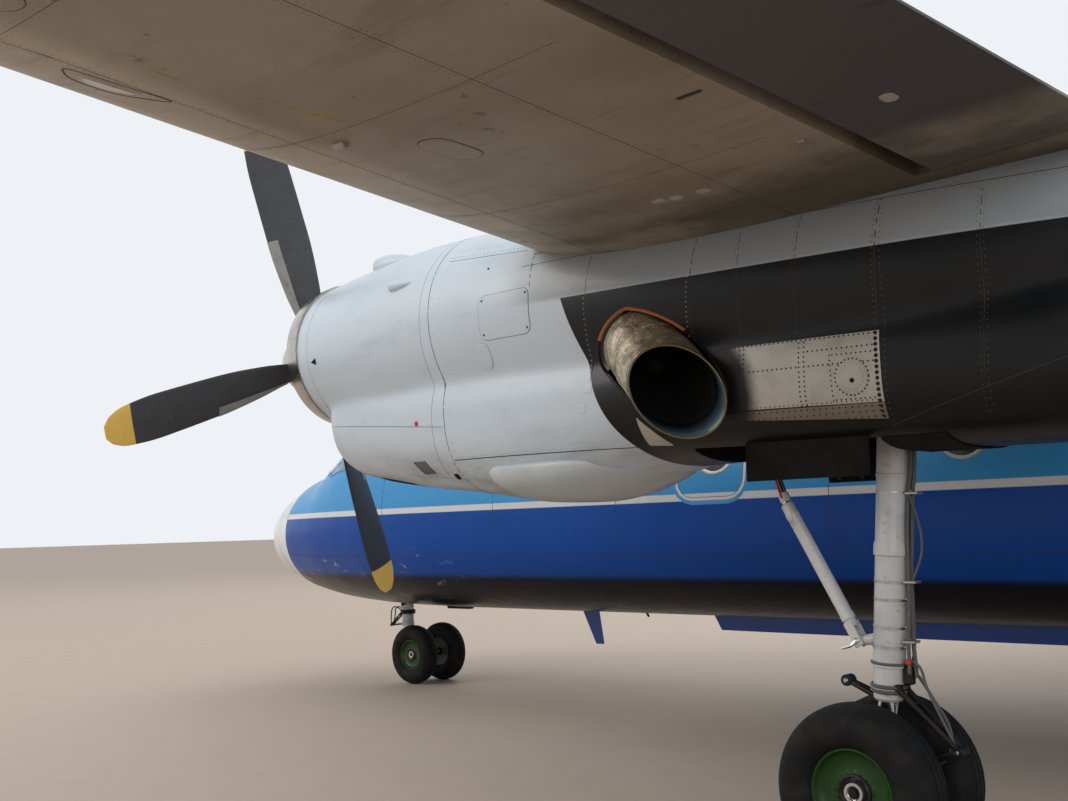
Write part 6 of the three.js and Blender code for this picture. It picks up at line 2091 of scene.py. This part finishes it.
def make_wing_edges():
    for name, paint, sign in (("left", "red_lamp", 1), ("right", "green_lamp", -1)):
        shape = Shape()
        centre = Vector((sign * 14.36, at(10.60), 3.358))
        turned(shape, centre, (0, -1, 0), [(-0.12, 0.03), (-0.02, 0.035), (0.03, 0.03), (0.055, 0.016),
                                           (0.062, 0)], 20, 0)
        piece(f"tip_lamp_{name}", shape, [paint])
    wicks = Shape()
    for span in (10.2, 11.4, 12.6, 13.6):
        end = Vector(wing.place(span, 1.0, float(wing.skin(span, 1.0, 1))))
        wick(wicks, end, 0.12, 0.004)
    pair("aileron_wicks", wicks, ["dark"], "aileron_{}")
    tabs = Shape()
    tab_skin = wing.side_skin(9.0, 13.9, 1, 0.8)
    seam(tabs, tab_skin, [(9.3, 0.91), (10.6, 0.91)], 0.005, 0.0008, 0, 0.1, direct=True)
    for span in (9.3, 10.6):
        seam(tabs, tab_skin, [(span, 0.91), (span, 0.995)], 0.005, 0.0008, 0, 0.03, direct=True)
    pair("aileron_tab_lines", tabs, ["seam"], "aileron_{}")


def ribs(lines, rivets, skin, spans, last):
    """Seams along the chord, up to the last part of it, with a row of rivets beside each."""
    for span in spans:
        line = [(span, part) for part in np.linspace(0.03, last, 8)]
        row = [(span + 0.02, part) for part in np.linspace(0.05, last, 8)]
        seam(lines, skin, line, 0.004, 0.0006, 0, 0.06, direct=True)
        studs(rivets, skin, row, 0.045, 0.004, 0.001, 0, True)


def make_tail_details():
    lines, rivets = Shape(), Shape()
    for side in (-1, 1):
        skin = tailplane.side_skin(0.5, 4.4, side)
        seam(lines, skin, [(0.6, 0.16), (4.3, 0.16)], 0.004, 0.0006, 0, 0.1, direct=True)
        studs(rivets, skin, [(0.6, 0.175), (4.3, 0.175)], 0.05, 0.004, 0.001, 0, True)
        ribs(lines, rivets, skin, (1.4, 2.3, 3.2), 0.58)
    pair("tailplane_seams", lines, ["seam"])
    pair("tailplane_rivets", rivets, ["rivet"])
    lines, rivets = Shape(), Shape()
    skin = fin.side_skin(3.5, 8.2, 1)
    seam(lines, skin, [(3.5, 0.16), (8.1, 0.16)], 0.004, 0.0006, 0, 0.1, direct=True)
    ribs(lines, rivets, skin, (4.3, 5.3, 6.3, 7.3), 0.62)
    pair("fin_seams", lines, ["seam"])
    pair("fin_rivets", rivets, ["rivet"])
    wicks = Shape()
    for height in (6.9, 7.4, 7.9):
        wick(wicks, Vector(fin.place(height, 1.0, 0.0)), 0.11)
    piece("rudder_wicks", wicks, ["dark"], "rudder")
    wicks = Shape()
    for span in (3.2, 3.7, 4.15):
        wick(wicks, Vector(tailplane.place(span, 1.0, 0.0)), 0.11)
    pair("elevator_wicks", wicks, ["dark"], "elevator_{}")


# Landing gear

# Station of the leg at the axle's height, its lean aft for each metre up, and the height of its lower end
LEG = {"foot": 10.676, "lean": 0.083, "end": 0.86}
# columns: height, radius
LEG_RINGS = [
    (0.86, 0.0), (0.86, 0.066), (0.872, 0.076), (0.9, 0.078), (0.903, 0.086), (0.922, 0.086),
    (0.925, 0.079), (1.03, 0.079), (1.033, 0.089), (1.058, 0.089), (1.062, 0.082), (1.592, 0.082),
    (1.598, 0.0905), (1.65, 0.0905), (1.672, 0.083), (1.995, 0.083), (1.999, 0.086), (2.012, 0.086),
    (2.016, 0.083), (2.44, 0.083), (2.44, 0.0),
]
LEG_BANDS = [1.125, 1.225, 1.366, 1.456, 1.915]
# Points beside the leg are (station, height)
BRACE = {"eye": (10.57, 1.157), "knee": (10.17, 1.88), "top": (9.965, 2.48), "radius": 0.036, "ram": 0.022}
TORQUE_APEX = (11.08, 0.64)
LEVER_END = (10.49, 0.948)
# columns: sideways place, radius, then stations and heights along the hose
HOSES = [
    (0.022, 0.010, [(10.92, 2.2), (10.918, 2.05), (10.893, 1.9), (10.875, 1.67), (10.868, 1.4),
                    (10.85, 1.17), (10.845, 1.0)]),
    (-0.004, 0.011, [(10.93, 2.2), (10.925, 2.05), (10.905, 1.9), (10.89, 1.7), (10.87, 1.45),
                     (10.862, 1.2), (10.87, 0.98)]),
    (-0.03, 0.008, [(10.91, 2.2), (10.91, 2.0), (10.885, 1.85), (10.865, 1.6), (10.86, 1.3), (10.85, 1.1),
                    (10.80, 0.95)]),
    (0.03, 0.006, [(10.90, 1.91), (10.935, 1.80), (10.955, 1.70), (10.95, 1.60), (10.91, 1.50),
                   (10.885, 1.45)]),
    (0.012, 0.007, [(10.85, 1.07), (10.90, 1.03), (10.93, 0.93), (10.99, 0.80), (11.06, 0.66)]),
    (-0.02, 0.008, [(10.87, 0.99), (10.93, 0.90), (11.02, 0.74), (11.0, 0.6), (10.86, 0.52), (10.76, 0.46)]),
]


def on_leg(height, x=0.0, aft=0.0):
    station = LEG["foot"] + LEG["lean"] * (height - MAIN_TYRE["radius"])
    return Vector((ENGINE_X + x, at(station + aft), height))


def beside(place, x=0.0):
    return Vector((ENGINE_X + x, at(place[0]), place[1]))


def across(shape, place, half, radius, paint=0, sides=24):
    """A round bar across the aircraft with chamfered ends."""
    return rod(shape, beside(place, -half), beside(place, half), radius, paint, sides)


def link(shape, start, end, half_start, half_end, radius, paint=0):
    """Two arms that close towards the far end, with a boss at each end and webs between them."""
    for side in (-1, 1):
        rod(shape, start + Vector((side * half_start, 0, 0)), end + Vector((side * half_end, 0, 0)), radius,
            paint, 12)
    for part in (0.25, 0.55, 0.8):
        middle = start.lerp(end, part)
        half = half_start + (half_end - half_start) * part
        rod(shape, middle - Vector((half, 0, 0)), middle + Vector((half, 0, 0)), radius * 0.8, paint, 10)
    for place, half in ((start, half_start), (end, half_end)):
        rod(shape, place - Vector((half + radius, 0, 0)), place + Vector((half + radius, 0, 0)), radius * 1.5,
            paint, 18)


LEG_AXIS = (on_leg(2.0) - on_leg(1.0)).normalized()
LEG_SLOPE = (on_leg(2.0) - on_leg(1.0)).length


def make_main_leg():
    leg = Shape()
    turned(leg, on_leg(LEG["end"]), LEG_AXIS, [((h - LEG["end"]) * LEG_SLOPE, r) for h, r in LEG_RINGS], 48,
           0)
    turned(leg, on_leg(0.465), LEG_AXIS, [(0, 0), (0, 0.05), (0.01, 0.054), (0.37, 0.054), (0.42, 0.054),
                                          (0.42, 0)], 32, 1)
    turned(leg, on_leg(0.56), LEG_AXIS, [(0, 0.056), (0.02, 0.066), (0.06, 0.066), (0.07, 0.056)], 32, 0)
    for height in LEG_BANDS:
        band = [(0, 0.0825), (0.001, 0.0855), (0.013, 0.0855), (0.014, 0.0825)]
        turned(leg, on_leg(height), LEG_AXIS, band, 40, 2)
        block(leg, on_leg(height + 0.007, 0.0, 0.094), (0.022, 0.022, 0.012), 2, 0.002)
    across(leg, (10.838, 2.4), 0.4147, 0.06, 0, 32)
    across(leg, (10.64, 0.435), 0.06, 0.074, 0, 40)
    rod(leg, on_leg(0.60), beside((10.64, 0.435)), 0.062, 0, 24)
    rod(leg, on_leg(1.18), beside((10.585, 1.155)), 0.034, 0, 16, 0.026)
    across(leg, BRACE["eye"], 0.028, 0.03, 0, 20)
    pair("main_leg_tube", leg, ["leg", "chrome", "steel"], nodes=["main_leg_{}"])


def make_main_links():
    links = Shape()
    apex = beside(TORQUE_APEX)
    link(links, beside((10.785, 0.925)), apex, 0.045, 0.022, 0.015, 0)
    link(links, apex, beside((10.70, 0.475)), 0.03, 0.05, 0.016, 0)
    link(links, beside((10.665, 0.875)), beside(LEVER_END), 0.03, 0.012, 0.014, 0)
    across(links, LEVER_END, 0.034, 0.03, 0, 20)
    across(links, LEVER_END, 0.04, 0.014, 1, 12)
    across(links, TORQUE_APEX, 0.06, 0.011, 1, 6)
    block(links, on_leg(0.99, 0.0, 0.11), (0.05, 0.05, 0.09), 0, 0.008)
    block(links, on_leg(1.06, 0.02, 0.115), (0.03, 0.03, 0.03), 2, 0.005)
    for side in (-1, 1):
        turned(links, beside((10.64, 0.435), side * 0.066), (side, 0, 0),
               [(0, 0.05), (0, 0.145), (0.008, 0.15), (0.05, 0.15), (0.056, 0.14), (0.056, 0.05)], 40, 0)
        for k in range(6):
            angle = math.pi * 2 * (k + 0.5) / 6
            spot = beside((10.64 + 0.105 * math.cos(angle), 0.435 + 0.105 * math.sin(angle)), side * 0.052)
            turned(links, spot, (side, 0, 0), [(0, 0), (0, 0.022), (0.016, 0.022)], 14, 1)
    pair("main_leg_links", links, ["dark", "steel", "red"])


def make_main_hoses():
    hoses = Shape()
    for x, radius, path in HOSES:
        tube(hoses, [beside(place, x) for place in path], radius, 0, 10, 40)
    for height in (1.91, 1.46, 1.16):
        block(hoses, on_leg(height, 0.0, 0.115), (0.075, 0.07, 0.014), 1, 0.003)
    for height in (1.04, 0.925, 0.9):
        turned(hoses, on_leg(height), LEG_AXIS, [(0, 0.086), (0.006, 0.094), (0.014, 0.094), (0.02, 0.086)],
               36, 0)
    pair("main_leg_hoses", hoses, ["hose", "steel"])


def make_main_brace():
    brace = Shape()
    eye, knee, top = (beside(BRACE[key]) for key in ("eye", "knee", "top"))
    run = knee - eye
    start = eye + run * 0.09
    radius = BRACE["radius"]
    length = (knee - start).length
    tube_rings = [
        (0, 0), (0, 0.026), (0.01, 0.032), (0.04, 0.032), (0.045, 0.038), (0.075, 0.038), (0.08, radius),
        (length - 0.09, radius), (length - 0.085, 0.0385), (length - 0.06, 0.0385),
        (length - 0.055, radius), (length - 0.008, radius), (length, 0.028), (length, 0),
    ]
    turned(brace, start, run, tube_rings, 32, 0)
    rod(brace, knee, top, BRACE["ram"], 1, 20)
    rod(brace, knee.lerp(top, 0.05) + Vector((0.03, 0, 0)), top + Vector((0.03, 0, 0)), 0.006, 2, 8)
    rod(brace, knee.lerp(top, 0.02), knee.lerp(top, 0.10), 0.03, 0, 20)
    for side in (-1, 1):
        cheek = start + Vector((side * 0.0373, 0, 0))
        middle = (cheek + eye + Vector((side * 0.0373, 0, 0))) / 2
        turn = Matrix.Rotation(math.atan2(run.z, run.y), 3, "X")
        block(brace, middle, (0.014, 0.14, 0.05), 0, 0.004, turn)
    across(brace, BRACE["eye"], 0.056, 0.014, 1, 12)
    across(brace, BRACE["eye"], 0.05, 0.022, 0, 6)
    tube(brace, [beside(BRACE["eye"], 0.05), beside((10.54, 1.13), 0.055), beside((10.49, 1.115), 0.05)],
         0.008, 1, 8, 10)
    pair("main_brace_tube", brace, ["leg", "chrome", "red"], nodes=["main_brace_{}"])


NOSE_LEG_STATION = 2.385
NOSE_APEX = (2.085, 0.645)
NOSE_DOOR = {"from": 2.642, "to": 3.774, "inner": 0.003, "outer": 0.256, "top": 0.9445}


def centred(place, x=0.0):
    return Vector((x, at(place[0]), place[1]))


def on_nose_leg(height):
    return Vector((0, at(NOSE_LEG_STATION), height))


def make_nose_leg():
    leg = Shape()
    rings = [
        (0.7003, 0), (0.7003, 0.064), (0.708, 0.070), (0.86, 0.070), (0.863, 0.075), (0.89, 0.075),
        (0.893, 0.070), (1.0, 0.070), (1.004, 0.074), (1.02, 0.074), (1.024, 0.070), (1.2997, 0.070),
        (1.2997, 0),
    ]
    turned(leg, on_nose_leg(0.0), (0, 0, 1), rings, 40, 0)
    rod(leg, on_nose_leg(0.925), centred((2.312, 0.905)), 0.024, 0, 16)
    for side in (-1, 1):
        rod(leg, centred((2.36, 0.90), side * 0.072), centred((2.50, 0.97), side * 0.08), 0.02, 1, 18)
    piece("nose_leg_tube", leg, ["leg", "dark"], nodes=["nose_leg"])
    brace = Shape()
    low, high = centred((2.304, 0.905)), centred((2.15, 1.28))
    rod(brace, low, high, 0.024, 0, 20)
    rod(brace, low.lerp(high, 0.15), low.lerp(high, 0.4), 0.029, 0, 20)
    piece("nose_brace_tube", brace, ["dark"], nodes=["nose_brace"])


def make_nose_fork():
    fork = Shape()
    turned(fork, on_nose_leg(0.56), (0, 0, 1), [(0, 0), (0, 0.044), (0.004, 0.046), (0.14, 0.046), (0.14, 0)],
           32, 1)
    collar = [(0, 0.046), (0, 0.070), (0.006, 0.076), (0.054, 0.076), (0.06, 0.070), (0.06, 0.046)]
    turned(fork, on_nose_leg(0.64), (0, 0, 1), collar, 36, 0)
    ring = [(0, 0.077), (0, 0.088), (0.004, 0.092), (0.046, 0.092), (0.05, 0.088), (0.05, 0.077)]
    turned(fork, on_nose_leg(0.79), (0, 0, 1), ring, 36, 2, closed=True)
    tube_rings = [(0, 0.04), (0, 0.052), (0.006, 0.056), (0.118, 0.056), (0.124, 0.052), (0.124, 0.04)]
    turned(fork, centred((2.75, 0.34), -0.062), (1, 0, 0), tube_rings, 36, 0)
    start, end = centred((2.385, 0.60)), centred((2.75, 0.345))
    turn = Matrix.Rotation(math.atan2(end.z - start.z, end.y - start.y), 3, "X")
    block(fork, (start + end) / 2, (0.088, (end - start).length + 0.07, 0.08), 0, 0.016, turn)
    block(fork, (start + end) / 2, (0.096, 0.22, 0.03), 2, 0.006, turn)
    link(fork, centred((2.302, 0.815)), centred(NOSE_APEX), 0.026, 0.016, 0.010, 2)
    link(fork, centred(NOSE_APEX), centred((2.36, 0.67)), 0.018, 0.026, 0.010, 2)
    for x, reach in ((0.02, 2.11), (-0.015, 2.14)):
        path = [(2.302, 0.825), (reach + 0.08, 0.868), (reach, 0.84), (reach - 0.02, 0.74), (2.09, 0.66)]
        tube(fork, [centred(place, x) for place in path], 0.007, 2, 8, 24)
    piece("nose_fork_parts", fork, ["leg", "chrome", "dark"], "nose_steering", ["nose_fork"])


def make_nose_doors():
    """Two leaves that follow the belly, closed behind the leg."""
    stations = np.linspace(NOSE_DOOR["from"], NOSE_DOOR["to"], 18)
    across_leaf = np.linspace(NOSE_DOOR["inner"], NOSE_DOOR["outer"], 9)
    rows = []
    for station, row in zip(stations, smooth_rows(FUSELAGE, stations)):
        under = [(x, at(station), z) for x, z in zip(across_leaf, underside(row, across_leaf))]
        over = [(x, at(station), NOSE_DOOR["top"]) for x in (NOSE_DOOR["outer"], NOSE_DOOR["inner"])]
        rows.append([*under, *over])
    doors = Shape().grid(np.array(rows), 0, wrap=True, caps=True)
    block(doors, (0.13, at(3.46), 0.908), (0.09, 0.38, 0.046), 1, 0.02)
    pair("nose_gear_doors", doors, ["body", "dark"], nodes=["nose_door_{}"])


# Floor, light and finish

def make_floor():
    mesh = bpy.data.meshes.new("floor")
    size = 400
    mesh.from_pydata([(-size, -size, 0), (size, -size, 0), (size, size, 0), (-size, size, 0)], [],
                     [(0, 1, 2, 3)])
    paint = Paint("floor", rough=0.75)
    grain = paint.mix(paint.noise(3.0, 6.0, 0.6), (0.40, 0.315, 0.245), (0.45, 0.365, 0.295))
    paint.colour(grain)
    mesh.materials.append(paint.material)
    floor = bpy.data.objects.new("floor", mesh)
    bpy.context.scene.collection.objects.link(floor)


def area_light(name, place, target, size, power, tone):
    data = bpy.data.lights.new(name, "AREA")
    data.shape = "DISK"
    data.size = size
    data.energy = power
    data.color = tone
    lamp = bpy.data.objects.new(name, data)
    lamp.location = place
    lamp.rotation_mode = "QUATERNION"
    lamp.rotation_quaternion = (Vector(target) - Vector(place)).to_track_quat("-Z", "Y")
    bpy.context.scene.collection.objects.link(lamp)


# columns: name, place, the point it faces, size, power, tone
LAMPS = [
    ("key", (34, -26, 26), (2, 0, 2), 22, 6500, (1.0, 0.95, 0.88)),
    ("fill", (30, 22, 12), (3, 0, 2), 20, 2000, (0.93, 0.96, 1.0)),
    ("back", (-30, -20, 24), (0, 0, 2), 24, 3500, (1.0, 0.97, 0.92)),
]


def make_light():
    world = bpy.data.worlds.new("world")
    world.use_nodes = True
    background = world.node_tree.nodes["Background"]
    background.inputs["Color"].default_value = (0.93, 0.96, 1.0, 1)
    background.inputs["Strength"].default_value = 0.92
    bpy.context.scene.world = world
    for lamp in LAMPS:
        area_light(*lamp)
    bpy.context.scene.view_settings.view_transform = "Standard"


make_fuselage()
make_cockpit()
make_windows()
make_doors()
make_fuselage_lines()
make_belly_and_roof()
make_wing()
make_wing_lines()
make_wing_parts()
make_wing_marks()
make_wing_edges()
make_tail()
make_tail_details()
make_nacelles()
make_nacelle_details()
make_bare_panel()
make_cowl_details()
make_intake_details()
make_bulge()
make_gear_doors()
make_rear_well_doors()
make_exhausts()
make_propellers()
make_main_leg()
make_main_links()
make_main_hoses()
make_main_brace()
make_nose_leg()
make_nose_fork()
make_nose_doors()
make_wheels("main_left", MAIN_TYRE, MAIN_AXLE, "main_wheels_left",
            ["main_tyre_left_outer", "main_tyre_left_inner", "main_wheels_left"])
make_wheels("main_right", MAIN_TYRE, Vector((-MAIN_AXLE.x, MAIN_AXLE.y, MAIN_AXLE.z)), "main_wheels_right",
            ["main_tyre_right_inner", "main_tyre_right_outer", "main_wheels_right"])
make_wheels("nose", NOSE_TYRE, NOSE_AXLE, "nose_wheels", ["nose_tyre_left", "nose_tyre_right", "nose_wheels"])
make_floor()
make_light()

for side in ("left", "right"):
    engine = frame["nodes"][f"engine_{side}"]
    engine.data.materials.clear()
    engine.data.materials.append(MAT["steel"])
    engine.data.shade_smooth()
    engine.data.set_sharp_from_angle(angle=math.radians(30))
    bevel = engine.modifiers.new("edges", "BEVEL")
    bevel.width = 0.01
    bevel.segments = 2
